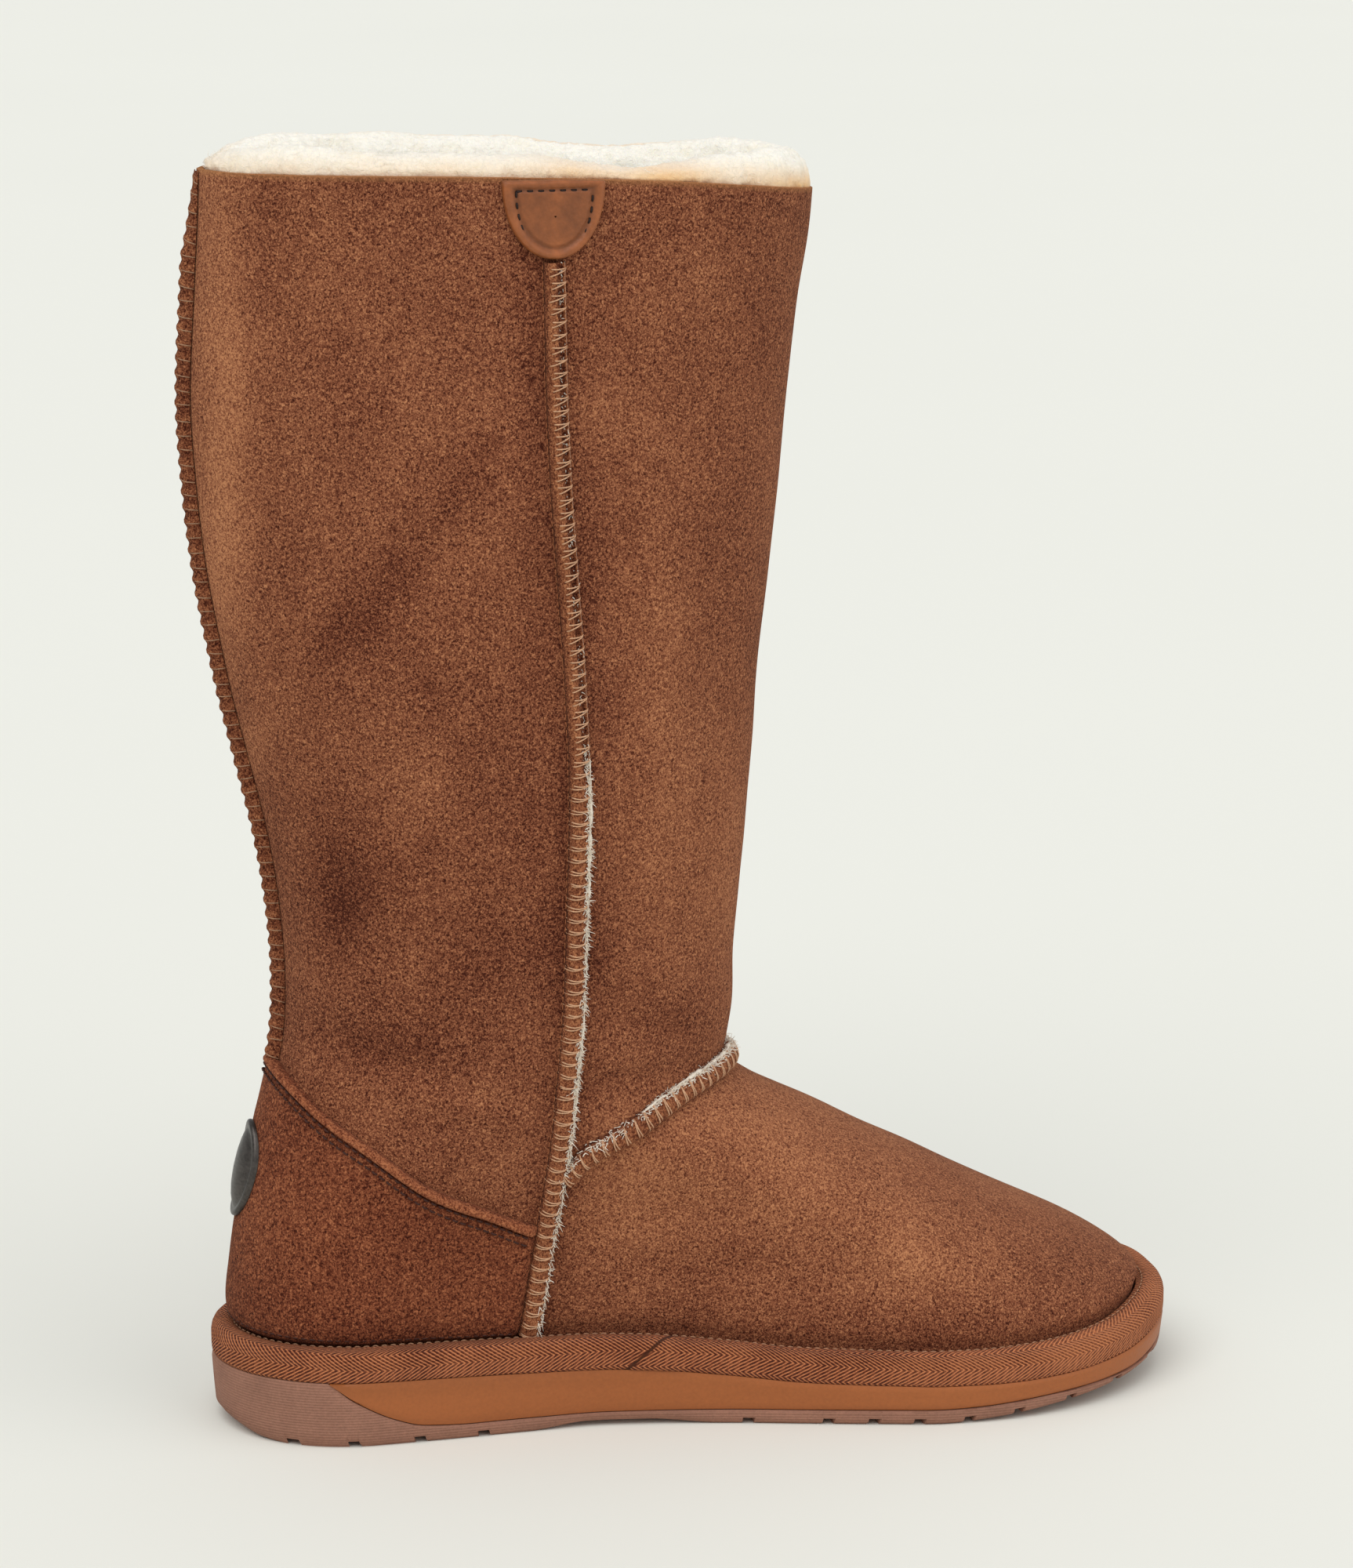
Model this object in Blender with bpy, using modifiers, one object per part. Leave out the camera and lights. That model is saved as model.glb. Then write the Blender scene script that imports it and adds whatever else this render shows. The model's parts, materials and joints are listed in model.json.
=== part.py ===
"""Left sheepskin boot: a tall pull-on boot with a lace bow at a slit in its collar.

Metres, +Z up, toe towards +X, inner side of the foot towards -Y. The pieces are modelled from the
back of the sole (x = 0), on the sole's axis (y = 0), and an empty carries them all to where the
origin is the bottom centre of the boot's box.
"""
import math
from collections import namedtuple

import bmesh
import bpy
from mathutils import Matrix, Vector

# Sole
SOLE_LENGTH = 0.277
BALL_WIDTH = 0.1054
HEEL_HEIGHT = 0.019
TOE_SPRING = 0.0072
HEEL_CAP = 0.042
TOE_CAP_INNER = 0.068
TOE_CAP_OUTER = 0.075
TOE_FULLNESS_INNER = 2.1
TOE_FULLNESS_OUTER = 2.5
SOLE_TAPER = 0.002
GROOVE_WIDTH = 0.003
GROOVE_DEPTH = 0.0014

# Binding round the sole's edge
BINDING_WIDTH = 0.008
BINDING_HEIGHT = 0.009

# Upper
COLLAR_HEIGHT = 0.350
COLLAR_DROP = 0.0085
COLLAR_CROWN = 0.0035
INSTEP_HEIGHT = 0.100
COLLAR_DEPTH = 0.164
SHAFT_WIDTH = 0.076
WALL = 0.002
HEEL_FOLD_FULLNESS = 1.8

# Overlays
COUNTER_THICKNESS = 0.002
SEAM_WIDTH = 0.006
SEAM_HEIGHT = 0.003
BACK_SEAM_WIDTH = 0.005
BACK_SEAM_HEIGHT = 0.0045
BACK_SEAM_FADE = 0.024
TAB_WIDTH = 0.0275
TAB_DROP = 0.021
TAB_THICKNESS = 0.0022
BADGE_HEIGHT = 0.027
BADGE_WIDTH = 0.0195
BADGE_DOME = 0.0026
BADGE_RISE = 0.072

# Footbed and fleece
FOOTBED_THICKNESS = 0.008
FLEECE_DEPTH = 0.014
FLEECE_PROUD = 0.005
FLEECE_REACH = 0.034
LOCK_LENGTH = 0.0025
LOCK_COUNT = 30

# Slit, eyelet holes and lace at the outer side of the collar
SLIT_PLACE = 0.090
SLIT_DEPTH = 0.070
SLIT_WIDTH_TOP = 0.010
SLIT_WIDTH_BOTTOM = 0.004
EYELET_DIAMETER = 0.005
EYELET_SPREAD = 0.012
EYELET_FIRST = 0.013
EYELET_PITCH = 0.019
EYELET_ROWS = 3
LACE_DIAMETER = 0.0045
LACE_HUMP = 0.0026

# Clearance between pieces that touch on the real boot
GAP = 0.0003

# Mesh fineness
AROUND = 36
PATH_STEPS = 4
ROUND_SIDES = 20
LACE_STEPS = 14
SMOOTH_ANGLE = math.radians(38)

# Sole: shares of its length, of the ball width, of the toe spring and of the heel height
SoleRow = namedtuple("SoleRow", "along inner outer ground top")
SOLE = [
    SoleRow(0.00, 0.345, 0.340, 0.42, 1.00),
    SoleRow(0.03, 0.345, 0.340, 0.10, 1.00),
    SoleRow(0.06, 0.345, 0.340, 0.00, 1.00),
    SoleRow(0.22, 0.335, 0.340, 0.00, 0.965),
    SoleRow(0.30, 0.325, 0.350, 0.00, 0.925),
    SoleRow(0.36, 0.322, 0.358, 0.22, 0.900),
    SoleRow(0.42, 0.340, 0.370, 0.22, 0.870),
    SoleRow(0.50, 0.378, 0.404, 0.00, 0.770),
    SoleRow(0.58, 0.433, 0.440, 0.00, 0.660),
    SoleRow(0.66, 0.487, 0.463, 0.00, 0.620),
    SoleRow(0.72, 0.520, 0.474, 0.00, 0.600),
    SoleRow(0.78, 0.525, 0.474, 0.14, 0.590),
    SoleRow(0.84, 0.525, 0.474, 0.36, 0.605),
    SoleRow(0.92, 0.525, 0.474, 0.68, 0.685),
    SoleRow(1.00, 0.525, 0.474, 1.00, 0.870),
]

# Line between outsole and midsole: shares of the sole's length, and of the heel height
WedgeRow = namedtuple("WedgeRow", "along rise")
WEDGE = [
    WedgeRow(0.086, 1.060),
    WedgeRow(0.123, 0.700),
    WedgeRow(0.163, 0.390),
    WedgeRow(0.192, 0.265),
    WedgeRow(0.245, 0.225),
    WedgeRow(0.720, 0.235),
    WedgeRow(0.835, 0.320),
    WedgeRow(0.935, 0.390),
    WedgeRow(0.966, 0.470),
    WedgeRow(1.010, 0.700),
]

# Cross grooves of the tread: shares of the sole's length
GROOVES = (0.060, 0.119, 0.187, 0.253, 0.524, 0.603, 0.648, 0.693, 0.744, 0.797, 0.856, 0.914, 0.966)

# Foot of the upper, from the binding up to the instep. rise is a share of that height, back_in and
# front_in are set in from the feather line by shares of the sole's length, lean is how far the side
# has passed from the sole's outline to the shaft's, swell stands out by a share of the ball width,
# the caps are shares of the sole's length, and square is how much of the toe's fullness is left
FootRow = namedtuple("FootRow", "rise back_in front_in lean swell heel_cap toe_cap square")
FOOT = [
    FootRow(0.000, 0.0000, 0.0000, 0.00, 0.000, 0.123, 0.224, 1.00),
    FootRow(0.040, -0.0050, -0.0030, 0.02, 0.009, 0.124, 0.222, 0.95),
    FootRow(0.080, -0.0058, 0.0035, 0.06, 0.012, 0.127, 0.220, 0.90),
    FootRow(0.140, -0.0044, 0.0201, 0.12, 0.013, 0.132, 0.218, 0.85),
    FootRow(0.205, -0.0020, 0.0440, 0.20, 0.012, 0.138, 0.216, 0.80),
    FootRow(0.285, 0.0006, 0.0817, 0.28, 0.010, 0.146, 0.215, 0.75),
    FootRow(0.375, 0.0036, 0.1303, 0.38, 0.007, 0.155, 0.215, 0.70),
    FootRow(0.465, 0.0073, 0.1810, 0.48, 0.004, 0.165, 0.217, 0.60),
    FootRow(0.555, 0.0113, 0.2296, 0.59, 0.000, 0.176, 0.222, 0.50),
    FootRow(0.640, 0.0160, 0.2792, 0.69, 0.000, 0.187, 0.230, 0.40),
    FootRow(0.730, 0.0210, 0.3279, 0.79, 0.000, 0.198, 0.240, 0.30),
    FootRow(0.810, 0.0255, 0.3726, 0.87, 0.000, 0.207, 0.248, 0.20),
    FootRow(0.875, 0.0300, 0.4078, 0.93, 0.000, 0.213, 0.252, 0.10),
    FootRow(0.935, 0.0340, 0.4306, 0.98, 0.000, 0.217, 0.254, 0.00),
    FootRow(1.000, 0.0385, 0.4396, 1.00, 0.000, 0.220, 0.254, 0.00),
]

# Shaft, from the instep up to the collar: a share of that height, shares of the collar's depth, and
# the half width as a share of the shaft's width
ShaftRow = namedtuple("ShaftRow", "rise back depth half")
SHAFT = [
    ShaftRow(0.020, 0.124, 0.776, 0.488),
    ShaftRow(0.054, 0.132, 0.776, 0.490),
    ShaftRow(0.116, 0.135, 0.775, 0.500),
    ShaftRow(0.188, 0.129, 0.789, 0.510),
    ShaftRow(0.270, 0.110, 0.821, 0.520),
    ShaftRow(0.360, 0.078, 0.866, 0.526),
    ShaftRow(0.456, 0.045, 0.909, 0.527),
    ShaftRow(0.560, 0.017, 0.953, 0.526),
    ShaftRow(0.672, -0.001, 0.991, 0.521),
    ShaftRow(0.770, -0.004, 1.010, 0.516),
    ShaftRow(0.870, 0.004, 1.018, 0.509),
    ShaftRow(0.948, 0.011, 1.026, 0.503),
    ShaftRow(1.000, 0.014, 1.029, 0.500),
]

# Side seams: a share of the collar's height and of the sole's length
SeamRow = namedtuple("SeamRow", "rise along")
SIDE_SEAM = [
    SeamRow(0.040, 0.300),
    SeamRow(0.089, 0.309),
    SeamRow(0.157, 0.321),
    SeamRow(0.207, 0.330),
    SeamRow(0.283, 0.340),
    SeamRow(0.351, 0.347),
    SeamRow(0.437, 0.350),
    SeamRow(0.524, 0.352),
    SeamRow(0.609, 0.348),
    SeamRow(0.691, 0.341),
    SeamRow(0.777, 0.334),
    SeamRow(0.857, 0.331),
    SeamRow(1.030, 0.330),
]

# Seam over the instep: a share of the sole's length and of the instep's height
VampRow = namedtuple("VampRow", "along rise")
VAMP_SEAM = [
    VampRow(0.320, 0.700),
    VampRow(0.364, 0.800),
    VampRow(0.407, 0.860),
    VampRow(0.455, 0.926),
    VampRow(0.495, 0.960),
    VampRow(0.530, 0.978),
    VampRow(0.600, 0.985),
]

# Top edge of the heel counter: a share of the sole's length and of the instep's height
COUNTER_TOP = [
    VampRow(-0.100, 1.250),
    VampRow(0.062, 1.065),
    VampRow(0.078, 1.015),
    VampRow(0.108, 0.930),
    VampRow(0.148, 0.850),
    VampRow(0.201, 0.740),
    VampRow(0.255, 0.667),
    VampRow(0.330, 0.590),
]

# Bow: the middle of its knot, and points of each free piece from the knot on, in millimetres from
# the back of the sole, from the sole's axis and from the floor
KNOT_SIZE = (0.0124, 0.0090, 0.0120)
KNOT_PLACE = (90.0, 48.4, 330.0)
LOOP_FRONT = (
    (96.6, 48.4, 333.0), (103.0, 48.6, 335.0), (110.5, 47.6, 334.0), (118.0, 45.4, 330.5),
    (125.0, 42.4, 325.0), (131.0, 39.2, 318.0), (135.3, 36.2, 310.0), (137.0, 34.4, 302.0),
    (135.0, 34.4, 295.5), (130.0, 35.9, 292.8), (124.0, 37.6, 294.5), (118.0, 39.2, 299.5),
    (112.0, 41.0, 306.0), (106.5, 43.4, 313.0), (101.5, 46.2, 320.0), (96.6, 48.2, 326.6),
)
LOOP_REAR = (
    (83.4, 48.4, 333.0), (77.0, 48.6, 334.6), (69.5, 47.8, 333.0), (62.0, 46.0, 329.0),
    (55.0, 43.4, 323.0), (49.0, 40.4, 315.5), (44.8, 38.0, 307.5), (43.4, 36.8, 299.5),
    (45.8, 37.4, 293.0), (51.0, 38.8, 290.8), (57.0, 40.0, 292.8), (62.8, 41.0, 298.0),
    (68.5, 42.4, 305.0), (74.0, 44.5, 312.5), (79.0, 46.7, 320.0), (83.4, 48.2, 326.6),
)
END_FRONT = (
    (92.6, 47.6, 323.6), (93.6, 48.4, 318.0), (95.0, 48.6, 312.0), (96.6, 48.4, 305.0),
    (98.2, 47.4, 298.0), (99.6, 45.8, 291.5), (100.8, 43.9, 285.5), (101.6, 42.2, 279.5),
    (102.0, 41.5, 274.0),
)
END_REAR = (
    (87.4, 47.6, 323.6), (86.6, 48.4, 318.0), (85.0, 48.6, 312.0), (83.0, 48.4, 305.5),
    (81.0, 47.4, 299.0), (79.4, 45.8, 293.0), (78.2, 44.0, 287.0), (77.4, 42.6, 281.0),
    (77.0, 42.0, 276.5),
)
MILLIMETRE = 0.001

# Colours
SUEDE = (0.30, 0.115, 0.045)
COUNTER_SUEDE = (0.25, 0.085, 0.035)
TAB_LEATHER = (0.36, 0.16, 0.055)
SEAM_SUEDE = (0.33, 0.15, 0.075)
TWILL = (0.27, 0.10, 0.042)
MIDSOLE_TAN = (0.40, 0.19, 0.07)
TREAD_MAUVE = (0.30, 0.165, 0.13)
WOOL = (0.86, 0.78, 0.62)
PEWTER = (0.18, 0.17, 0.16)
LACE_SUEDE = (0.20, 0.07, 0.035)


def clear_scene():
    for thing in list(bpy.data.objects):
        bpy.data.objects.remove(thing, do_unlink=True)


def new_collection(name):
    collection = bpy.data.collections.new(name)
    bpy.context.scene.collection.children.link(collection)
    return collection


def mix(low, high, share):
    return low + (high - low) * share


def smooth_read(rows, key, value, at):
    """Read a table's column at a place by a cubic that never overshoots its rows."""
    places = [getattr(row, key) for row in rows]
    values = [getattr(row, value) for row in rows]
    if at <= places[0]:
        return values[0]
    if at >= places[-1]:
        return values[-1]
    slopes = [(values[i + 1] - values[i]) / (places[i + 1] - places[i]) for i in range(len(rows) - 1)]
    i = max(k for k in range(len(rows) - 1) if places[k] <= at)

    def tangent(k):
        if k == 0 or k == len(rows) - 1:
            return 0.0
        before, after = slopes[k - 1], slopes[k]
        return 0.0 if before * after <= 0 else 2 * before * after / (before + after)

    width = places[i + 1] - places[i]
    t = (at - places[i]) / width
    return (values[i] * (1 + 2 * t) * (1 - t) ** 2 + values[i + 1] * t * t * (3 - 2 * t)
            + width * (tangent(i) * t * (1 - t) ** 2 - tangent(i + 1) * t * t * (1 - t)))


def rounded(reach, fullness):
    """Half width of a rounded end, as a share, at a share of the end's length from its tip."""
    inside = 1 - min(max(reach, 0.0), 1.0)
    return max(0.0, 1 - inside ** fullness) ** (1 / fullness)


# Sole

def sole_body(x, inner):
    """Half width of the sole beside the axis, before its ends are rounded."""
    return BALL_WIDTH * smooth_read(SOLE, "along", "inner" if inner else "outer", x / SOLE_LENGTH)


def ground(x):
    return TOE_SPRING * smooth_read(SOLE, "along", "ground", x / SOLE_LENGTH)


def sole_top(x):
    """Height at which the midsole ends and the upper and its binding stand."""
    return HEEL_HEIGHT * smooth_read(SOLE, "along", "top", x / SOLE_LENGTH)


def on_inner_side(angle):
    return math.sin(angle) >= 0


def sole_edge(angle, inset=0.0):
    """Point of the sole's outline seen from above; angle 0 is the heel and pi the toe."""
    inner = on_inner_side(angle)
    length = SOLE_LENGTH - 2 * inset
    x = inset + length * (1 - math.cos(angle)) / 2
    cap = (TOE_CAP_INNER if inner else TOE_CAP_OUTER) - inset
    fullness = TOE_FULLNESS_INNER if inner else TOE_FULLNESS_OUTER
    half = (sole_body(x, inner) - inset) * rounded((x - inset) / (HEEL_CAP - inset), 2.0)
    half *= rounded((SOLE_LENGTH - inset - x) / cap, fullness)
    return x, -half if inner else half


# Upper

class Section:
    """One level of the upper: how high it lies, where it starts and ends, and how wide it is."""

    def __init__(self, storey, rise, back, front, lean, swell, half, heel_cap, toe_cap, square, fold):
        self.storey = storey
        self.rise = rise
        self.back = back
        self.front = front
        self.lean = lean
        self.swell = swell
        self.half = half
        self.heel_cap = heel_cap
        self.toe_cap = toe_cap
        self.square = square
        self.fold = fold


def foot_section(row, storey=1):
    feather = BINDING_WIDTH + GAP
    half = SHAFT_WIDTH * SHAFT[0].half
    return Section(
        storey, row.rise,
        feather + SOLE_LENGTH * row.back_in, SOLE_LENGTH * (1 - row.front_in) - feather,
        row.lean, BALL_WIDTH * row.swell, half,
        SOLE_LENGTH * row.heel_cap, SOLE_LENGTH * row.toe_cap, row.square, mix(2.0, 1.9, row.rise))


def shaft_section(row):
    depth = COLLAR_DEPTH * row.depth
    back = COLLAR_DEPTH * row.back
    return Section(
        2, row.rise, back, back + depth, 1.0, 0.0, SHAFT_WIDTH * row.half,
        depth / 2, depth / 2, 0.0, mix(1.9, HEEL_FOLD_FULLNESS, row.rise))


def upper_sections():
    """Levels of the upper, the first on the midsole and the second clear of the binding's top."""
    return ([foot_section(FOOT[0], storey=0)] + [foot_section(row) for row in FOOT]
            + [shaft_section(row) for row in SHAFT])


SECTIONS = upper_sections()
ABOVE_BINDING = 1
COLLAR = len(SECTIONS) - 1


def section_height(section, x):
    seat = sole_top(x) + GAP
    clear_of_binding = seat + BINDING_HEIGHT + GAP
    if section.storey == 0:
        return seat
    if section.storey == 1:
        return mix(clear_of_binding, INSTEP_HEIGHT, section.rise)
    along = (x - section.back) / (section.front - section.back)
    along = min(max(along, 0.0), 1.0)
    crown = 4 * along ** 1.25 * (1 - along ** 1.25)
    level = mix(INSTEP_HEIGHT, COLLAR_HEIGHT, section.rise)
    return level + (COLLAR_CROWN * crown - COLLAR_DROP * along) * section.rise ** 3


def section_point(section, angle):
    inner = on_inner_side(angle)
    x = mix(section.back, section.front, (1 - math.cos(angle)) / 2)
    feather = sole_body(x, inner) - BINDING_WIDTH - GAP + section.swell
    half = mix(feather, section.half, section.lean)
    fullness = mix(2.0, TOE_FULLNESS_INNER if inner else TOE_FULLNESS_OUTER, section.square)
    half *= rounded((x - section.back) / section.heel_cap, section.fold)
    half *= rounded((section.front - x) / section.toe_cap, fullness)
    return Vector((x, -half if inner else half, section_height(section, x)))


def skin(level, angle, proud=0.0):
    """Point of the upper's outer face at a level and an angle, moved out along the face's normal."""
    angle %= 2 * math.pi
    level = min(max(level, 0.0), COLLAR)

    def at(place, turn):
        low = min(int(place), COLLAR - 1)
        first = section_point(SECTIONS[low], turn % (2 * math.pi))
        second = section_point(SECTIONS[low + 1], turn % (2 * math.pi))
        return first.lerp(second, place - low)

    point = at(level, angle)
    if proud == 0.0:
        return point
    turn = math.pi / AROUND
    lower, higher = max(level - 0.5, 0.0), min(level + 0.5, COLLAR)
    around = at(level, angle + turn) - at(level, angle - turn)
    upward = at(higher, angle) - at(lower, angle)
    return point + around.cross(upward).normalized() * proud


def level_at(height, angle):
    """Level of the upper whose face has this height at this angle."""
    low, high = 0.0, float(COLLAR)
    for _ in range(30):
        middle = (low + high) / 2
        if skin(middle, angle).z < height:
            low = middle
        else:
            high = middle
    return low


def angle_at(x, level, inner):
    """Angle at which this level of the upper passes over a distance from the heel."""
    low, high = 0.0, math.pi
    for _ in range(30):
        middle = (low + high) / 2
        if skin(level, middle if inner else -middle).x < x:
            low = middle
        else:
            high = middle
    return low if inner else -low


def face_at(x, height, inner, proud=0.0):
    """Point of the upper's side at a distance from the heel and a height."""
    angle = math.pi / 2 if inner else -math.pi / 2
    for _ in range(6):
        level = level_at(height, angle)
        angle = angle_at(x, level, inner)
    return skin(level, angle, proud)


# Building helpers

def finish(thing, colour, roughness, metallic=0.0):
    material = bpy.data.materials.new(thing.name)
    material.use_nodes = True
    shader = material.node_tree.nodes["Principled BSDF"]
    shader.inputs["Base Color"].default_value = (*colour, 1.0)
    shader.inputs["Roughness"].default_value = roughness
    shader.inputs["Metallic"].default_value = metallic
    thing.data.materials.clear()
    thing.data.materials.append(material)
    thing.data.shade_smooth()
    thing.data.set_sharp_from_angle(angle=SMOOTH_ANGLE)
    return thing


def mesh_object(name, points, faces, collection):
    mesh = bpy.data.meshes.new(name)
    mesh.from_pydata([tuple(p) for p in points], [], faces)
    mesh.update()
    thing = bpy.data.objects.new(name, mesh)
    collection.objects.link(thing)
    return thing


def loft(name, rings, collection, closed=True, caps=True):
    """Skin over rings of equal count, from low to high, each running the same way round."""
    count = len(rings[0])
    points = [p for ring in rings for p in ring]
    faces = []
    spans = count if closed else count - 1
    for level in range(len(rings) - 1):
        for k in range(spans):
            a, b = level * count + k, level * count + (k + 1) % count
            faces += [(a, b, b + count), (a, b + count, a + count)]
    if caps:
        top = (len(rings) - 1) * count
        faces += [tuple(reversed(face)) for face in cross_faces(count, 0)]
        faces += cross_faces(count, top)
    return mesh_object(name, points, faces, collection)


def cross_faces(count, start):
    """Faces across a ring whose points lie in pairs on either side of its first point."""
    faces = [(start, start + 1, start + count - 1)]
    for k in range(1, count // 2 - 1):
        faces.append((start + k, start + k + 1, start + count - k - 1, start + count - k))
    middle = count // 2
    faces.append((start + middle - 1, start + middle, start + middle + 1))
    return faces


def sweep(name, loops, collection):
    """Ring-shaped solid: each loop is a closed cross-section, and the last joins the first."""
    count = len(loops[0])
    points = [p for section in loops for p in section]
    faces = []
    for k in range(len(loops)):
        for j in range(count):
            a = k * count + j
            b = k * count + (j + 1) % count
            c = ((k + 1) % len(loops)) * count + (j + 1) % count
            d = ((k + 1) % len(loops)) * count + j
            faces.append((a, d, c, b))
    return mesh_object(name, points, faces, collection)


def angles(count=AROUND):
    return [2 * math.pi * k / count for k in range(count)]


def side_cutter(name, outline, y_low, y_high, collection):
    """Cutter whose outline is drawn in side view (x, z) and runs across the boot."""
    curve = bpy.data.curves.new(name, "CURVE")
    curve.dimensions = "2D"
    curve.fill_mode = "BOTH"
    curve.extrude = (y_high - y_low) / 2
    spline = curve.splines.new("POLY")
    spline.points.add(len(outline) - 1)
    for point, (x, z) in zip(spline.points, outline):
        point.co = (x, z, 0.0, 1.0)
    spline.use_cyclic_u = True
    drawn = bpy.data.objects.new(name + "_drawn", curve)
    drawn.matrix_world = (Matrix.Translation((0, (y_low + y_high) / 2, 0))
                          @ Matrix.Rotation(math.pi / 2, 4, "X"))
    return solid_from_curve(name, drawn, collection, as_cutter=True)


def solid_from_curve(name, drawn, collection, as_cutter=False):
    """Closed mesh object from a curve object, which is then removed."""
    bpy.context.scene.collection.objects.link(drawn)
    bpy.context.view_layer.update()
    evaluated = drawn.evaluated_get(bpy.context.evaluated_depsgraph_get())
    mesh = bpy.data.meshes.new_from_object(evaluated)
    shape = bmesh.new()
    shape.from_mesh(mesh)
    bmesh.ops.transform(shape, matrix=drawn.matrix_world, verts=shape.verts)
    bmesh.ops.remove_doubles(shape, verts=shape.verts, dist=0.00001)
    bmesh.ops.recalc_face_normals(shape, faces=shape.faces)
    shape.to_mesh(mesh)
    shape.free()
    thing = bpy.data.objects.new(name, mesh)
    bpy.data.objects.remove(drawn, do_unlink=True)
    collection.objects.link(thing)
    if as_cutter:
        hide_cutter(thing)
    return thing


def hide_cutter(thing):
    thing.hide_render = True
    thing.display_type = "WIRE"
    return thing


def boolean(thing, cutter, operation):
    modifier = thing.modifiers.new(cutter.name, "BOOLEAN")
    modifier.operation = operation
    modifier.solver = "EXACT"
    modifier.object = cutter
    return thing


def solidify(thing, thickness, outward):
    modifier = thing.modifiers.new("wall", "SOLIDIFY")
    modifier.thickness = thickness
    modifier.offset = 1.0 if outward else -1.0
    modifier.use_even_offset = True
    return thing


def smooth_path(rows, key, value, scale_key, scale_value, steps):
    """Points (x or z pairs) of a table's line at even steps between its first and last row."""
    first, last = getattr(rows[0], key), getattr(rows[-1], key)
    places = [mix(first, last, k / steps) for k in range(steps + 1)]
    return [(place * scale_key, smooth_read(rows, key, value, place) * scale_value)
            for place in places]


def ribbon(path, half_width):
    """Closed outline of a band of constant width that follows a path in side view."""
    left, right = [], []
    for i, (x, z) in enumerate(path):
        before = path[max(i - 1, 0)]
        after = path[min(i + 1, len(path) - 1)]
        run, climb = after[0] - before[0], after[1] - before[1]
        length = math.hypot(run, climb)
        left.append((x - climb / length * half_width, z + run / length * half_width))
        right.append((x + climb / length * half_width, z - run / length * half_width))
    return left + right[::-1]


def side_seam_path():
    """Side seam in side view, from the binding to above the collar."""
    rows = smooth_path(SIDE_SEAM, "rise", "along", COLLAR_HEIGHT, SOLE_LENGTH, 5 * PATH_STEPS)
    return [(x, z) for z, x in rows]


def seam_place(height):
    return SOLE_LENGTH * smooth_read(SIDE_SEAM, "rise", "along", height / COLLAR_HEIGHT)


def collar_height(x):
    """Height of the collar's cut edge, which is crowned and slopes down to the front."""
    return section_height(SECTIONS[COLLAR], x)


def tab_bottom():
    return collar_height(seam_place(COLLAR_HEIGHT)) - TAB_DROP


def slit_bottom():
    return collar_height(SLIT_PLACE) - SLIT_DEPTH


# Pieces of the sole

def sole_block(name, collection):
    """The whole sole below the binding, from the ground to the line where the upper stands."""
    rings = []
    for share, inset in ((0.0, SOLE_TAPER), (0.12, SOLE_TAPER / 2), (0.5, SOLE_TAPER / 4), (1.0, 0.0)):
        ring = []
        for angle in angles():
            x, y = sole_edge(angle, inset)
            ring.append((x, y, mix(ground(x), sole_top(x), share)))
        rings.append(ring)
    return loft(name, rings, collection)


def wedge_cutter(name, below, collection):
    """Side-view cutter that keeps what lies under or over the line between tread and midsole."""
    shift = -GAP / 2 if below else GAP / 2
    line = smooth_path(WEDGE, "along", "rise", SOLE_LENGTH, HEEL_HEIGHT, 3 * PATH_STEPS)
    line = [(x, z + shift) for x, z in line]
    far = HEEL_HEIGHT * 2
    if below:
        outline = [(-far, -far), (line[-1][0], -far)] + line[::-1] + [(-far, line[0][1])]
    else:
        outline = line + [(line[-1][0], far), (line[0][0], far)]
    return side_cutter(name, outline, -BALL_WIDTH, BALL_WIDTH, collection)


def groove_cutters(collection):
    """Cross grooves of the tread, one box each, sunk into the ground face."""
    points, faces = [], []
    for along in GROOVES:
        x = along * SOLE_LENGTH
        low, high = ground(x) - GROOVE_DEPTH, ground(x) + GROOVE_DEPTH
        start = len(points)
        for z in (low, high):
            for dx, y in ((-1, -1), (1, -1), (1, 1), (-1, 1)):
                points.append((x + dx * GROOVE_WIDTH / 2, y * BALL_WIDTH, z))
        faces += [tuple(start + k for k in face) for face in (
            (3, 2, 1, 0), (4, 5, 6, 7), (0, 1, 5, 4), (1, 2, 6, 5), (2, 3, 7, 6), (3, 0, 4, 7))]
    return hide_cutter(mesh_object("groove_cutters", points, faces, collection))


def build_outsole(parts, cutters):
    thing = sole_block("outsole", parts)
    boolean(thing, wedge_cutter("below_wedge", True, cutters), "INTERSECT")
    boolean(thing, groove_cutters(cutters), "DIFFERENCE")
    return finish(thing, TREAD_MAUVE, 0.75)


def build_midsole(parts, cutters):
    thing = sole_block("midsole", parts)
    boolean(thing, wedge_cutter("above_wedge", False, cutters), "INTERSECT")
    return finish(thing, MIDSOLE_TAN, 0.55)


def build_welt_binding(parts):
    """Tape round the edge: its inner face follows the upper's foot, its outer face the sole."""
    profile = ((1.0, 0.0), (0.05, 0.0), (0.0, 0.25), (0.0, 0.62), (0.14, 0.9), (0.4, 1.0),
               (0.85, 0.98), (1.0, 0.86))
    loops = []
    for angle in angles():
        outer_x, outer_y = sole_edge(angle)
        inner = skin(0, angle, GAP)
        loop = []
        for across, up in profile:
            x, y = mix(outer_x, inner.x, across), mix(outer_y, inner.y, across)
            loop.append((x, y, sole_top(x) + GAP + BINDING_HEIGHT * up))
        loops.append(loop)
    return finish(sweep("welt_binding", loops, parts), TWILL, 0.85)


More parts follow.
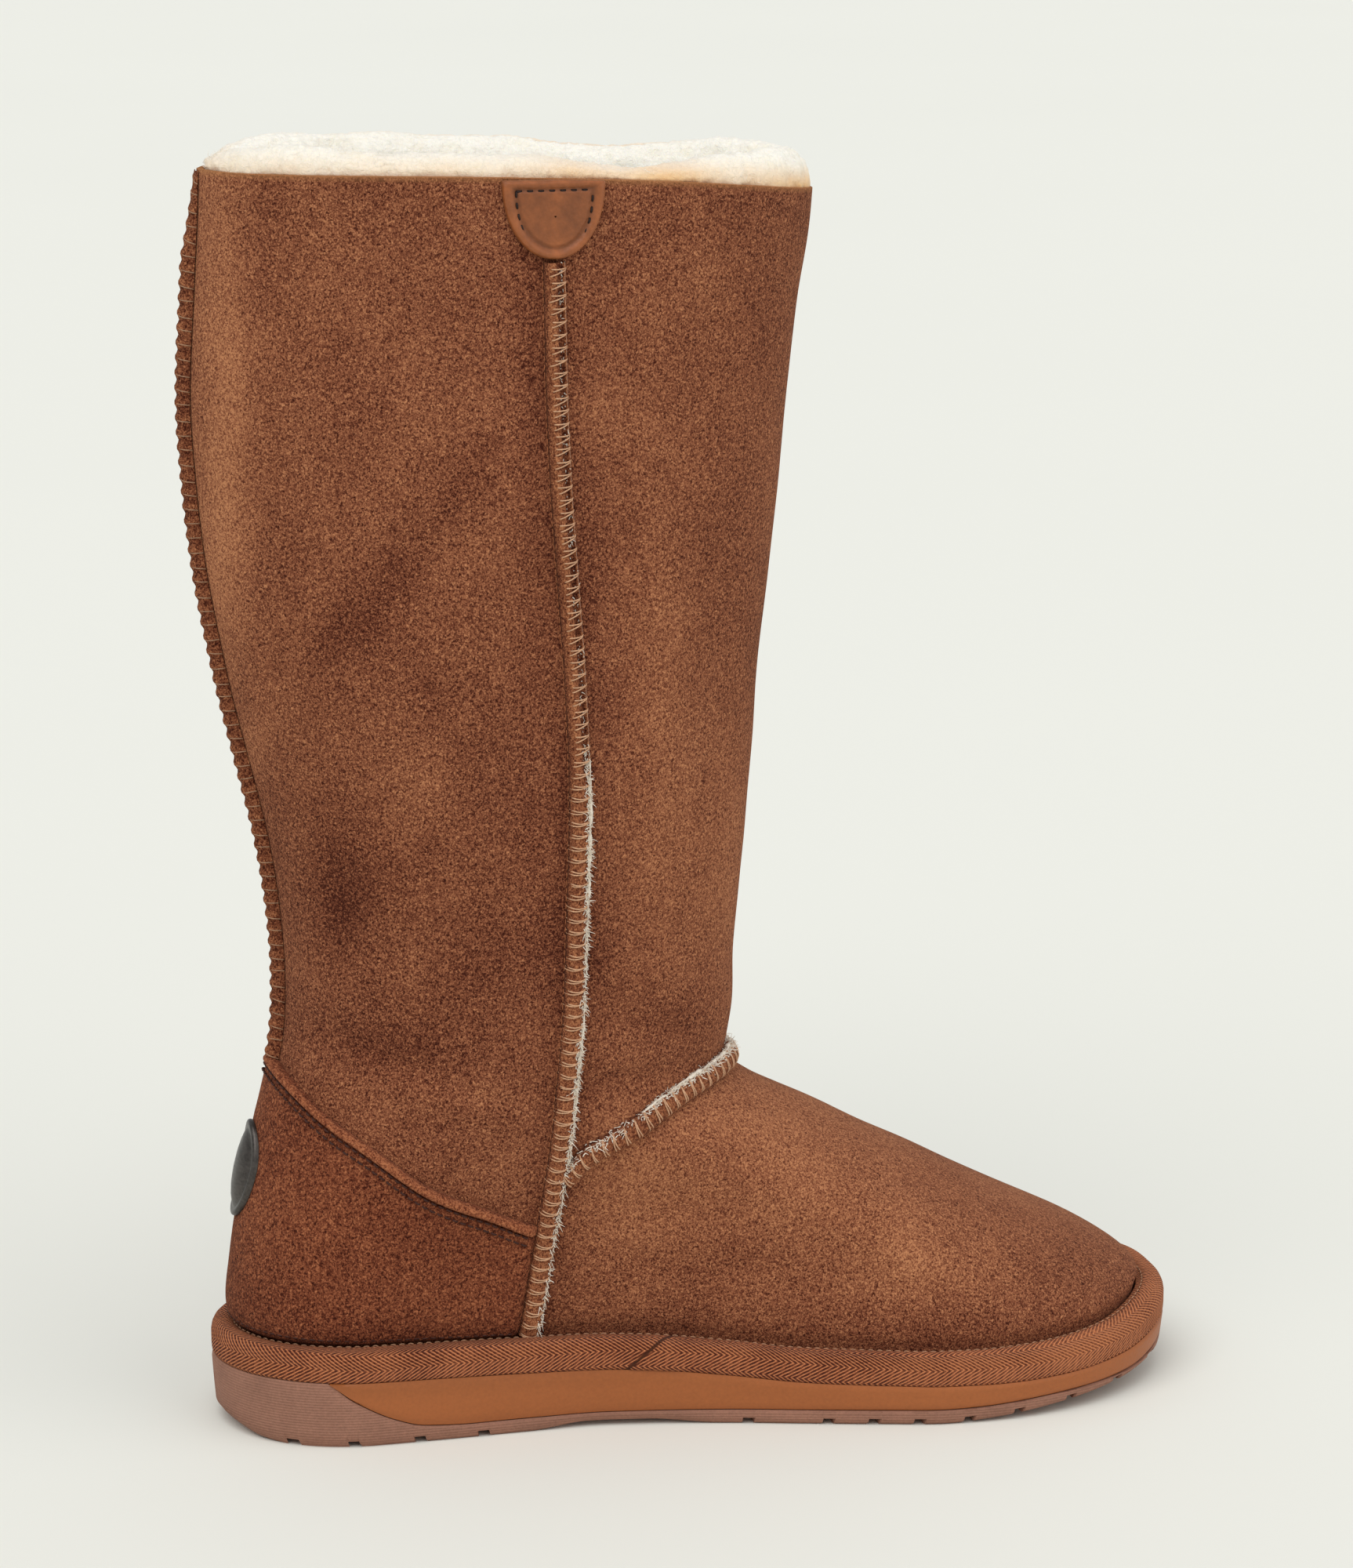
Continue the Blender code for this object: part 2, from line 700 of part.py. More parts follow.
def build_insole(parts):
    """Footbed inside the upper's foot."""
    rings = []
    edge = WALL + 2 * GAP
    for up, inset in ((0.0, edge + SOLE_TAPER / 2), (0.15, edge), (0.8, edge), (1.0, edge + SOLE_TAPER)):
        ring = []
        for angle in angles():
            point = skin(0, angle, -inset)
            ring.append((point.x, point.y, sole_top(point.x) + GAP + FOOTBED_THICKNESS * up))
        rings.append(ring)
    return finish(loft("insole", rings, parts), WOOL, 0.95)


# Pieces of the upper

def build_upper(parts, cutters):
    rings = [[section_point(section, angle) for angle in angles()] for section in SECTIONS]
    thing = loft("upper", rings, parts, caps=False)
    solidify(thing, WALL, outward=False)
    boolean(thing, slit_cutter(cutters), "DIFFERENCE")
    boolean(thing, eyelet_cutters(cutters), "DIFFERENCE")
    return finish(thing, SUEDE, 0.95)


def slit_cutter(collection):
    """Narrow wedge down from the collar, through the outer side alone."""
    top = COLLAR_HEIGHT + FLEECE_PROUD * 3
    bottom = slit_bottom()
    wide, narrow = SLIT_WIDTH_TOP / 2, SLIT_WIDTH_BOTTOM / 2
    outline = [(SLIT_PLACE - wide, top), (SLIT_PLACE - narrow, bottom + narrow)]
    for k in range(1, 6):
        turn = math.pi * k / 6
        outline.append((SLIT_PLACE - narrow * math.cos(turn), bottom + narrow - narrow * math.sin(turn)))
    outline += [(SLIT_PLACE + narrow, bottom + narrow), (SLIT_PLACE + wide, top)]
    return side_cutter("slit_cutter", outline, SHAFT_WIDTH / 4, SHAFT_WIDTH, collection)


def eyelet_places():
    """Side-view places of the punched holes, in pairs beside the slit, from the collar down."""
    top = collar_height(SLIT_PLACE) - EYELET_FIRST
    return [(SLIT_PLACE + side * EYELET_SPREAD, top - row * EYELET_PITCH)
            for row in range(EYELET_ROWS) for side in (-1, 1)]


def eyelet_cutters(collection):
    shape = bmesh.new()
    for x, z in eyelet_places():
        place = (Matrix.Translation((x, SHAFT_WIDTH / 2, z)) @ Matrix.Rotation(math.pi / 2, 4, "X"))
        bmesh.ops.create_cone(
            shape, cap_ends=True, segments=12, radius1=EYELET_DIAMETER / 2,
            radius2=EYELET_DIAMETER / 2, depth=SHAFT_WIDTH / 3, matrix=place)
    mesh = bpy.data.meshes.new("eyelet_cutters")
    shape.to_mesh(mesh)
    shape.free()
    thing = bpy.data.objects.new("eyelet_cutters", mesh)
    collection.objects.link(thing)
    return hide_cutter(thing)


def skin_patch(name, levels, turns, proud, thickness, collection):
    """Shell that lies over part of the upper, on the upper's own levels and angles."""
    rings = [[skin(level, turn, proud) for turn in turns] for level in levels]
    closed = abs((turns[-1] - turns[0]) - 2 * math.pi * (1 - 1 / AROUND)) < 1e-6
    thing = loft(name, rings, collection, closed=closed, caps=False)
    return solidify(thing, thickness, outward=True)


def turns_between(first, last):
    """The upper's own angles between two of its columns; negative columns are the outer side."""
    return [2 * math.pi * k / AROUND for k in range(first, last + 1)]


def binding_cutter(name, collection):
    """Side-view cutter for all that would reach down into the binding."""
    far = HEEL_HEIGHT
    outline = [(SOLE_LENGTH, -far), (0.0, -far)]
    for k in range(2 * PATH_STEPS + 1):
        x = SOLE_LENGTH * k / (2 * PATH_STEPS)
        outline.append((x, sole_top(x) + BINDING_HEIGHT + 2 * GAP))
    return side_cutter(name, outline, -BALL_WIDTH, BALL_WIDTH, collection)


def level_over(height, margin=1):
    """First of the upper's levels that passes over a height everywhere."""
    for number, section in enumerate(SECTIONS):
        if min(section_height(section, section.back), section_height(section, section.front)) > height:
            return min(number + margin, COLLAR)
    return COLLAR


def meet_seam(behind, ahead, half):
    """Place on a straight line in side view where it meets the side seam's rear edge."""
    for _ in range(30):
        middle = (mix(behind[0], ahead[0], 0.5), mix(behind[1], ahead[1], 0.5))
        if middle[0] < seam_place(middle[1]) - half:
            behind = middle
        else:
            ahead = middle
    return behind


def build_heel_counter(parts, cutters):
    """Suede overlay round the heel, from seam to seam, down to the binding."""
    quarter = AROUND // 4
    top = level_over(COUNTER_TOP[0].rise * INSTEP_HEIGHT, margin=0)
    thing = skin_patch("heel_counter", range(ABOVE_BINDING, top + 1), turns_between(-quarter - 1, quarter + 1),
                       GAP, COUNTER_THICKNESS, parts)
    half = SEAM_WIDTH / 2 + GAP
    line = [(row.along * SOLE_LENGTH, row.rise * INSTEP_HEIGHT) for row in COUNTER_TOP]
    top_edge = [point for point in line if point[0] < seam_place(point[1]) - half]
    corner = meet_seam(top_edge[-1], line[len(top_edge)], half)
    front = [(x - half, z) for x, z in side_seam_path() if z < corner[1] - GAP]
    low = -HEEL_HEIGHT
    outline = top_edge + [corner] + front[::-1] + [(front[0][0], low), (top_edge[0][0], low)]
    boolean(thing, side_cutter("counter_outline", outline, -BALL_WIDTH, BALL_WIDTH, cutters), "INTERSECT")
    boolean(thing, binding_cutter("counter_foot", cutters), "DIFFERENCE")
    return finish(thing, COUNTER_SUEDE, 0.95)


def build_side_seam(name, inner, top_height, parts, cutters):
    """Raised seam down one side, from a height down to the binding."""
    quarter = AROUND // 4
    middle = quarter if inner else -quarter
    turns = turns_between(middle - quarter // 2, middle + quarter // 2)
    thing = skin_patch(name, range(ABOVE_BINDING, COLLAR + 1), turns, GAP, SEAM_HEIGHT, parts)
    path = [(x, z) for x, z in side_seam_path() if z < top_height]
    path.append((seam_place(top_height), top_height))
    outline = ribbon(path, SEAM_WIDTH / 2)
    boolean(thing, side_cutter(name + "_outline", outline, -SHAFT_WIDTH, SHAFT_WIDTH, cutters), "INTERSECT")
    boolean(thing, binding_cutter(name + "_foot", cutters), "DIFFERENCE")
    return finish(thing, SEAM_SUEDE, 0.9)


def build_seam_vamp(parts, cutters):
    """Raised seam over the instep, from one side seam to the other."""
    top = level_over(INSTEP_HEIGHT, margin=2)
    span = AROUND // 4
    turns = turns_between(span - 2, AROUND - span + 2)
    thing = skin_patch("seam_vamp", range(ABOVE_BINDING, top + 1), turns, GAP, SEAM_HEIGHT, parts)
    path = smooth_path(VAMP_SEAM, "along", "rise", SOLE_LENGTH, INSTEP_HEIGHT, 2 * PATH_STEPS)
    path = [(x, z) for x, z in path if x > seam_place(z)]
    band = ribbon(path, SEAM_WIDTH / 2)
    boolean(thing, side_cutter("vamp_seam_outline", band, -BALL_WIDTH, BALL_WIDTH, cutters), "INTERSECT")
    meeting = ribbon(side_seam_path(), SEAM_WIDTH / 2 + GAP)
    boolean(thing, side_cutter("vamp_seam_ends", meeting, -BALL_WIDTH, BALL_WIDTH, cutters), "DIFFERENCE")
    return finish(thing, SEAM_SUEDE, 0.9)


def build_seam_back(parts, cutters):
    """Raised seam up the back of the shaft, from the counter to the collar, where it thins out."""
    turns = turns_between(-4, 4)
    counter_top = COUNTER_TOP[1].rise * INSTEP_HEIGHT + GAP
    bottom = level_over(INSTEP_HEIGHT * 0.9, margin=0)
    thing = skin_patch("seam_back", range(bottom, COLLAR + 1), turns, GAP, BACK_SEAM_HEIGHT, parts)
    half = BACK_SEAM_WIDTH / 2
    over = COLLAR_HEIGHT * 1.1
    fade = skin(level_at(COLLAR_HEIGHT - BACK_SEAM_FADE, 0.0), 0.0, BACK_SEAM_HEIGHT + 2 * GAP)
    thin = skin(COLLAR, 0.0, BACK_SEAM_HEIGHT / 5)
    outline = [(-COLLAR_DEPTH, counter_top), (COLLAR_DEPTH / 3, counter_top),
               (COLLAR_DEPTH / 3, over), (thin.x, over), (thin.x, thin.z), (fade.x, fade.z),
               (-COLLAR_DEPTH, fade.z)]
    boolean(thing, side_cutter("back_seam_outline", outline, -half, half, cutters), "INTERSECT")
    return finish(thing, SEAM_SUEDE, 0.9)


def build_collar_tab(parts, cutters):
    """D-shaped leather tab, straight along the collar and round below."""
    quarter = AROUND // 4
    turns = turns_between(quarter - 4, quarter + 4)
    bottom = level_over(COLLAR_HEIGHT - 2 * TAB_DROP, margin=-1)
    thing = skin_patch("collar_tab", range(bottom, COLLAR + 1), turns, GAP, TAB_THICKNESS, parts)
    centre = seam_place(COLLAR_HEIGHT)
    top = tab_bottom() + TAB_DROP
    outline = [(centre - TAB_WIDTH / 2, COLLAR_HEIGHT * 1.1)]
    for k in range(ROUND_SIDES + 1):
        turn = math.pi * k / ROUND_SIDES
        outline.append((centre - TAB_WIDTH / 2 * math.cos(turn), top - TAB_DROP * math.sin(turn) ** 0.9))
    outline.append((centre + TAB_WIDTH / 2, COLLAR_HEIGHT * 1.1))
    boolean(thing, side_cutter("tab_outline", outline, -SHAFT_WIDTH, 0, cutters), "INTERSECT")
    return finish(thing, TAB_LEATHER, 0.5)


def build_heel_badge(parts):
    """Plain oval plate, domed, that lies on the counter at the middle of the heel."""
    seat = GAP + COUNTER_THICKNESS + GAP
    rings = []
    for share, up in ((0.25, 0.0), (0.65, 0.0), (1.0, 0.0), (1.0, 0.35), (0.9, 0.62), (0.65, 0.85), (0.25, 1.0)):
        ring = []
        for k in range(ROUND_SIDES):
            turn = 2 * math.pi * k / ROUND_SIDES
            y = BADGE_WIDTH / 2 * share * math.sin(turn)
            z = BADGE_RISE + BADGE_HEIGHT / 2 * share * math.cos(turn)
            ring.append(heel_point(y, z, seat + BADGE_DOME * up))
        rings.append(ring)
    return finish(loft("heel_badge", rings, parts), PEWTER, 0.35, metallic=0.8)


def heel_point(y, height, proud):
    """Point at the back of the heel, beside the middle by y and at a height."""
    low, high = 0.0, math.pi / 2
    for _ in range(30):
        middle = (low + high) / 2
        if abs(skin(level_at(height, middle), middle, proud).y) < abs(y):
            low = middle
        else:
            high = middle
    angle = low if y < 0 else -low
    return skin(level_at(height, angle), angle, proud)


def build_insole_and_sole(parts, cutters):
    build_outsole(parts, cutters)
    build_midsole(parts, cutters)
    build_welt_binding(parts)
    build_insole(parts)


def build_collar_fleece(parts):
    """Deep wool inside the collar, with locks that stand over the cut edge, open at the slit."""
    count = 2 * LOCK_COUNT
    start = slit_angle() + slit_half_angle()
    span = 2 * math.pi - 2 * slit_half_angle()
    rows = []
    for k in range(count + 1):
        angle = start + span * k / count
        rows.append([Vector(p) for p in fleece_section(angle, k)])
    thing = open_sweep("collar_fleece", rows, parts)
    return finish(thing, WOOL, 1.0)


def slit_angle():
    return angle_at(SLIT_PLACE, COLLAR, inner=False)


def slit_half_angle():
    return SLIT_WIDTH_TOP / 2 / (COLLAR_DEPTH / 2) + 0.03


def lock(number, phase):
    """Length of the wool lock at a step round the collar, in rows that do not line up."""
    return LOCK_LENGTH * (math.sin(2.1 * number + phase) + 0.5 * math.sin(3.7 * number + 2.3 * phase))


def fleece_section(angle, number):
    """Closed cross-section of the fleece, whose crest and inner face rise and fall lock by lock."""
    edge = skin(COLLAR, angle)
    outward = skin(COLLAR, angle, 1.0) - edge
    outward.z = 0.0
    outward.normalize()
    face = WALL + 2 * GAP
    proud, reach, depth = FLEECE_PROUD, FLEECE_REACH, FLEECE_DEPTH
    profile = (
        (face, -reach), (face, -reach / 2), (face, -GAP),
        (face - WALL / 2, proud * 0.4),
        (face + depth * 0.25, proud * 0.9 + lock(number, 0.0) / 2),
        (face + depth * 0.60, proud * 0.8 + lock(number, 2.0) / 2),
        (face + depth * 0.90 + lock(number, 1.0) / 2, -proud * 0.4),
        (face + depth + lock(number, 3.0), -reach * 0.35),
        (face + depth + lock(number, 4.0), -reach * 0.7),
        (face + depth * 0.8, -reach),
    )
    points = []
    for inward, up in profile:
        anchor = skin(level_at(edge.z + up, angle), angle) if up < 0 else edge
        points.append((anchor.x - outward.x * inward, anchor.y - outward.y * inward, edge.z + up))
    return points


def open_sweep(name, sections, collection):
    """Solid along a path with two ends, each closed by its own cross-section."""
    count = len(sections[0])
    points = [p for section in sections for p in section]
    faces = []
    for k in range(len(sections) - 1):
        for j in range(count):
            a, b = k * count + j, k * count + (j + 1) % count
            faces.append((a, a + count, b + count, b))
    last = (len(sections) - 1) * count
    faces.append(tuple(range(count)))
    faces.append(tuple(last + j for j in range(count))[::-1])
    return mesh_object(name, points, faces, collection)


# Lace

def curve_through(points, steps):
    """Evenly stepped points of a smooth curve that passes through the given ones."""
    ends = [points[0] * 2 - points[1]] + points + [points[-1] * 2 - points[-2]]
    fine = []
    for i in range(1, len(ends) - 2):
        before, start, end, after = ends[i - 1:i + 3]
        for k in range(PATH_STEPS):
            t = k / PATH_STEPS
            fine.append(0.5 * (2 * start + (end - before) * t
                               + (2 * before - 5 * start + 4 * end - after) * t * t
                               + (3 * start - before - 3 * end + after) * t ** 3))
    fine.append(points[-1])
    reach = [0.0]
    for first, second in zip(fine, fine[1:]):
        reach.append(reach[-1] + (second - first).length)
    stepped, place = [], 0
    for k in range(steps + 1):
        want = reach[-1] * k / steps
        while place < len(reach) - 2 and reach[place + 1] < want:
            place += 1
        share = (want - reach[place]) / (reach[place + 1] - reach[place])
        stepped.append(fine[place].lerp(fine[place + 1], min(share, 1.0)))
    return stepped


def cord(points, steps):
    """Round cord with flat ends, as an object that is not yet in a collection."""
    curve = bpy.data.curves.new("lace_route", "CURVE")
    curve.dimensions = "3D"
    curve.bevel_depth = LACE_DIAMETER / 2
    curve.bevel_resolution = 2
    curve.use_fill_caps = True
    route = curve_through(points, steps)
    spline = curve.splines.new("POLY")
    spline.points.add(len(route) - 1)
    for point, place in zip(spline.points, route):
        point.co = (*place, 1.0)
    return bpy.data.objects.new("lace_route", curve)


def build_free_cord(name, table, steps, parts):
    points = [Vector(row) * MILLIMETRE for row in table]
    thing = solid_from_curve(name, cord(points, steps), parts)
    return finish(thing, LACE_SUEDE, 0.9)


def strand_over_slit(first, last, hump):
    """Points over the outer face from one punched hole to another, raised at the middle."""
    points = []
    for k in range(5):
        share = k / 4
        x, z = mix(first[0], last[0], share), mix(first[1], last[1], share)
        lift = GAP + LACE_DIAMETER / 2 + hump * math.sin(math.pi * share) ** 2
        points.append(face_at(x, z, inner=False, proud=lift))
    return points


def build_lace_crossings(parts, cutters):
    """Two strands that cross over the slit between the lower holes, joined where they cross."""
    holes = eyelet_places()
    upper_rear, upper_front, lower_rear, lower_front = holes[2:6]
    under = cord(strand_over_slit(lower_rear, upper_front, 0.0), LACE_STEPS // 2)
    thing = solid_from_curve("lace_crossings", under, parts)
    over = cord(strand_over_slit(lower_front, upper_rear, LACE_HUMP), LACE_STEPS // 2)
    boolean(thing, solid_from_curve("lace_over_strand", over, cutters, as_cutter=True), "UNION")
    return finish(thing, LACE_SUEDE, 0.9)


def build_lace_bar(parts):
    """Strand between the top holes, which the knot sits on."""
    first, last = eyelet_places()[:2]
    strand = cord(strand_over_slit(first, last, 0.0), LACE_STEPS // 2)
    return finish(solid_from_curve("lace_bar", strand, parts), LACE_SUEDE, 0.9)


def build_lace_knot(parts):
    shape = bmesh.new()
    place = Matrix.Translation(Vector(KNOT_PLACE) * MILLIMETRE) @ Matrix.Diagonal((*KNOT_SIZE, 1.0))
    bmesh.ops.create_uvsphere(shape, u_segments=12, v_segments=8, radius=0.5, matrix=place)
    mesh = bpy.data.meshes.new("lace_knot")
    shape.to_mesh(mesh)
    shape.free()
    thing = bpy.data.objects.new("lace_knot", mesh)
    parts.objects.link(thing)
    return finish(thing, LACE_SUEDE, 0.9)


def build_bow(parts):
    build_lace_knot(parts)
    build_free_cord("lace_loop_front", LOOP_FRONT, LACE_STEPS, parts)
    build_free_cord("lace_loop_rear", LOOP_REAR, LACE_STEPS, parts)
    build_free_cord("lace_end_front", END_FRONT, LACE_STEPS // 2, parts)
    build_free_cord("lace_end_rear", END_REAR, LACE_STEPS // 2, parts)


# Placing

def centre_on_floor(parts):
    """Move the whole boot so that the origin is the bottom centre of its box, without the bow."""
    bpy.context.view_layer.update()
    depsgraph = bpy.context.evaluated_depsgraph_get()
    low, high = [math.inf] * 2, [-math.inf] * 2
    for thing in parts.objects:
        if thing.name.startswith(("lace_knot", "lace_loop", "lace_end")):
            continue
        for vertex in thing.evaluated_get(depsgraph).data.vertices:
            for axis in range(2):
                low[axis] = min(low[axis], vertex.co[axis])
                high[axis] = max(high[axis], vertex.co[axis])
    frame = bpy.data.objects.new("boot_frame", None)
    parts.objects.link(frame)
    frame.location = (-(low[0] + high[0]) / 2, -(low[1] + high[1]) / 2, 0.0)
    for thing in list(bpy.data.objects):
        if thing is not frame and thing.parent is None:
            thing.parent = frame
    bpy.context.view_layer.update()


def main():
    clear_scene()
    parts = new_collection("sheepskin_boot")
    cutters = new_collection("cutters")
    build_insole_and_sole(parts, cutters)
    build_upper(parts, cutters)
    build_heel_counter(parts, cutters)
    build_side_seam("seam_inner_side", True, tab_bottom() - GAP, parts, cutters)
    build_side_seam("seam_outer_side", False, slit_bottom() - SEAM_WIDTH / 2, parts, cutters)
    build_seam_vamp(parts, cutters)
    build_seam_back(parts, cutters)
    build_collar_tab(parts, cutters)
    build_heel_badge(parts)
    build_collar_fleece(parts)
    build_lace_crossings(parts, cutters)
    build_lace_bar(parts)
    build_bow(parts)
    centre_on_floor(parts)


if __name__ == "__main__":
    main()
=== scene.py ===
"""Left sheepskin boot: suede, seams, wool, bound edge, sole and lace bow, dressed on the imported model.

Metres, +Z up, toe towards +X, inner side of the foot towards -Y. The boot's own sizes are measured
from the back of its sole and from the sole's axis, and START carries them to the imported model.
"""
import json
import math
from collections import namedtuple

import bpy
import numpy as np
from bpy.props import FloatProperty, FloatVectorProperty, IntProperty, PointerProperty
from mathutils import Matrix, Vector, noise


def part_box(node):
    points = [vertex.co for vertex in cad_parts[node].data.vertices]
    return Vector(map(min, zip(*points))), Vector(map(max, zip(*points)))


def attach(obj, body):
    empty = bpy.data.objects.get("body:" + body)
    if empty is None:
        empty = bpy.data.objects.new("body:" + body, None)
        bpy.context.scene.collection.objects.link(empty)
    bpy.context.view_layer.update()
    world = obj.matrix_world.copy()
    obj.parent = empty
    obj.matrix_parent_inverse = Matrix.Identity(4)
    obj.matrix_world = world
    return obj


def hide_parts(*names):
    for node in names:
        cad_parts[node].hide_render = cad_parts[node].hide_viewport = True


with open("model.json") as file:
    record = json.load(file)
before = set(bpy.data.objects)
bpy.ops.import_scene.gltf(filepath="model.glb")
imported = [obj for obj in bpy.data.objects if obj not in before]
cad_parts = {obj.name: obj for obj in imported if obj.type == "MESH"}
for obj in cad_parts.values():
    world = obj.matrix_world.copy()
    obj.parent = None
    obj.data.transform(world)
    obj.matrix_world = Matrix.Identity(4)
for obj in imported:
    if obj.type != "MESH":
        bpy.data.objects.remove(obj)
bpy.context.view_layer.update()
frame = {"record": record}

bl_info = {
    "name": "Sheepskin Boot",
    "version": (1, 0, 0),
    "blender": (4, 5, 0),
    "location": "3D View > Sidebar > Boot",
    "description": "Dresses the packed model of a tall sheepskin boot",
    "category": "Object",
}

START = Vector((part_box("outsole")[0].x, frame["record"]["mounts"][0]["pos_m"][1], 0.0))
MM = 0.001

# Sizes of the boot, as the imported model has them
SOLE_LENGTH = 0.277
BALL_WIDTH = 0.1054
HEEL_HEIGHT = 0.019
TOE_SPRING = 0.0072
HEEL_CAP = 0.042
TOE_CAP_INNER = 0.068
TOE_CAP_OUTER = 0.075
TOE_FULLNESS_INNER = 2.1
TOE_FULLNESS_OUTER = 2.5
SOLE_TAPER = 0.002
GROOVE_WIDTH = 0.003
GROOVE_DEPTH = 0.0014
BINDING_WIDTH = 0.008
BINDING_HEIGHT = 0.009
COLLAR_HEIGHT = 0.350
COLLAR_DROP = 0.0085
COLLAR_CROWN = 0.0035
INSTEP_HEIGHT = 0.100
COLLAR_DEPTH = 0.164
SHAFT_WIDTH = 0.076
WALL = 0.002
HEEL_FOLD_FULLNESS = 1.8
COUNTER_THICKNESS = 0.002
SEAM_WIDTH = 0.006
SEAM_HEIGHT = 0.003
BACK_SEAM_WIDTH = 0.005
BACK_SEAM_HEIGHT = 0.0045
BACK_SEAM_FADE = 0.024
TAB_WIDTH = 0.0275
TAB_DROP = 0.021
TAB_THICKNESS = 0.0022
BADGE_HEIGHT = 0.027
BADGE_WIDTH = 0.0195
BADGE_DOME = 0.0026
BADGE_RISE = 0.072
FOOTBED_THICKNESS = 0.008
FLEECE_DEPTH = 0.014
FLEECE_PROUD = 0.005
FLEECE_REACH = 0.034
SLIT_PLACE = 0.090
SLIT_DEPTH = 0.070
SLIT_WIDTH_TOP = 0.010
SLIT_WIDTH_BOTTOM = 0.004
EYELET_DIAMETER = 0.005
EYELET_SPREAD = 0.012
EYELET_FIRST = 0.013
EYELET_PITCH = 0.019
EYELET_ROWS = 3
LACE_DIAMETER = 0.0045
GAP = 0.0003

# Fineness of the upper's skin
ROWS = 236
COLUMNS = 288

# Sizes that only the scene has: the counter's folded strip, and how much wider and deeper than in the
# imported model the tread's grooves are drawn
COUNTER_STRIP = 0.0032
GROOVE_WIDER = 1.15
GROOVE_DEEPER = 1.25

# Raw edge of cut suede
SUEDE_EDGE = (0.42, 0.19, 0.075)

# Middle of the shaft, from the back of the sole
SHAFT_MIDDLE = 0.09

# Camera in the boot's own frame: place in metres, angles in degrees, lens in millimetres
CAMERA_PLACE = (-0.1805, -1.3415, 0.485)
CAMERA_TURN = 13.18
CAMERA_FALL = 12.66
CAMERA_LENS = 116.0

# Studio light: the sky, then the suns by name, place that the light comes from, angle in degrees,
# strength and colour
WORLD_COLOUR = (0.97, 0.985, 1.0)
WORLD_STRENGTH = 0.55
LIGHTS = (
    ("soft_key", (-0.9, -1.1, 2.0), 50.0, 1.35, (1.0, 0.99, 0.98)),
    ("soft_fill", (1.5, -1.2, 1.1), 70.0, 0.75, (1.0, 0.98, 0.97)),
)


def table(columns, *rows):
    """Rows of a table, read by the names of its columns."""
    Row = namedtuple("Row", columns)
    return [Row(*row) for row in rows]


# Shares of the sole's length, of the ball width, of the toe spring and of the heel height
SOLE = table(
    "along inner outer ground top",
    (0.00, 0.345, 0.340, 0.42, 1.00),
    (0.03, 0.345, 0.340, 0.10, 1.00),
    (0.06, 0.345, 0.340, 0.00, 1.00),
    (0.22, 0.335, 0.340, 0.00, 0.965),
    (0.30, 0.325, 0.350, 0.00, 0.925),
    (0.36, 0.322, 0.358, 0.22, 0.900),
    (0.42, 0.340, 0.370, 0.22, 0.870),
    (0.50, 0.378, 0.404, 0.00, 0.770),
    (0.58, 0.433, 0.440, 0.00, 0.660),
    (0.66, 0.487, 0.463, 0.00, 0.620),
    (0.72, 0.520, 0.474, 0.00, 0.600),
    (0.78, 0.525, 0.474, 0.14, 0.590),
    (0.84, 0.525, 0.474, 0.36, 0.605),
    (0.92, 0.525, 0.474, 0.68, 0.685),
    (1.00, 0.525, 0.474, 1.00, 0.870),
)

# Line between tread and midsole: shares of the sole's length and of the heel height
WEDGE = table(
    "along rise",
    (0.086, 1.060),
    (0.123, 0.700),
    (0.163, 0.390),
    (0.192, 0.265),
    (0.245, 0.225),
    (0.720, 0.235),
    (0.835, 0.320),
    (0.935, 0.390),
    (0.966, 0.470),
    (1.010, 0.700),
)

# Middles of the tread's cross grooves, as shares of the sole's length
GROOVES = (0.060, 0.119, 0.187, 0.253, 0.524, 0.603, 0.648, 0.693, 0.744, 0.797, 0.856, 0.914, 0.966)

# Foot of the upper, from the binding up to the instep, and the shaft above it
FOOT = table(
    "rise back_in front_in lean swell heel_cap toe_cap square",
    (0.000, 0.0000, 0.0000, 0.00, 0.000, 0.123, 0.224, 1.00),
    (0.040, -0.0050, -0.0030, 0.02, 0.009, 0.124, 0.222, 0.95),
    (0.080, -0.0058, 0.0035, 0.06, 0.012, 0.127, 0.220, 0.90),
    (0.140, -0.0044, 0.0201, 0.12, 0.013, 0.132, 0.218, 0.85),
    (0.205, -0.0020, 0.0440, 0.20, 0.012, 0.138, 0.216, 0.80),
    (0.285, 0.0006, 0.0817, 0.28, 0.010, 0.146, 0.215, 0.75),
    (0.375, 0.0036, 0.1303, 0.38, 0.007, 0.155, 0.215, 0.70),
    (0.465, 0.0073, 0.1810, 0.48, 0.004, 0.165, 0.217, 0.60),
    (0.555, 0.0113, 0.2296, 0.59, 0.000, 0.176, 0.222, 0.50),
    (0.640, 0.0160, 0.2792, 0.69, 0.000, 0.187, 0.230, 0.40),
    (0.730, 0.0210, 0.3279, 0.79, 0.000, 0.198, 0.240, 0.30),
    (0.810, 0.0255, 0.3726, 0.87, 0.000, 0.207, 0.248, 0.20),
    (0.875, 0.0300, 0.4078, 0.93, 0.000, 0.213, 0.252, 0.10),
    (0.935, 0.0340, 0.4306, 0.98, 0.000, 0.217, 0.254, 0.00),
    (1.000, 0.0385, 0.4396, 1.00, 0.000, 0.220, 0.254, 0.00),
)
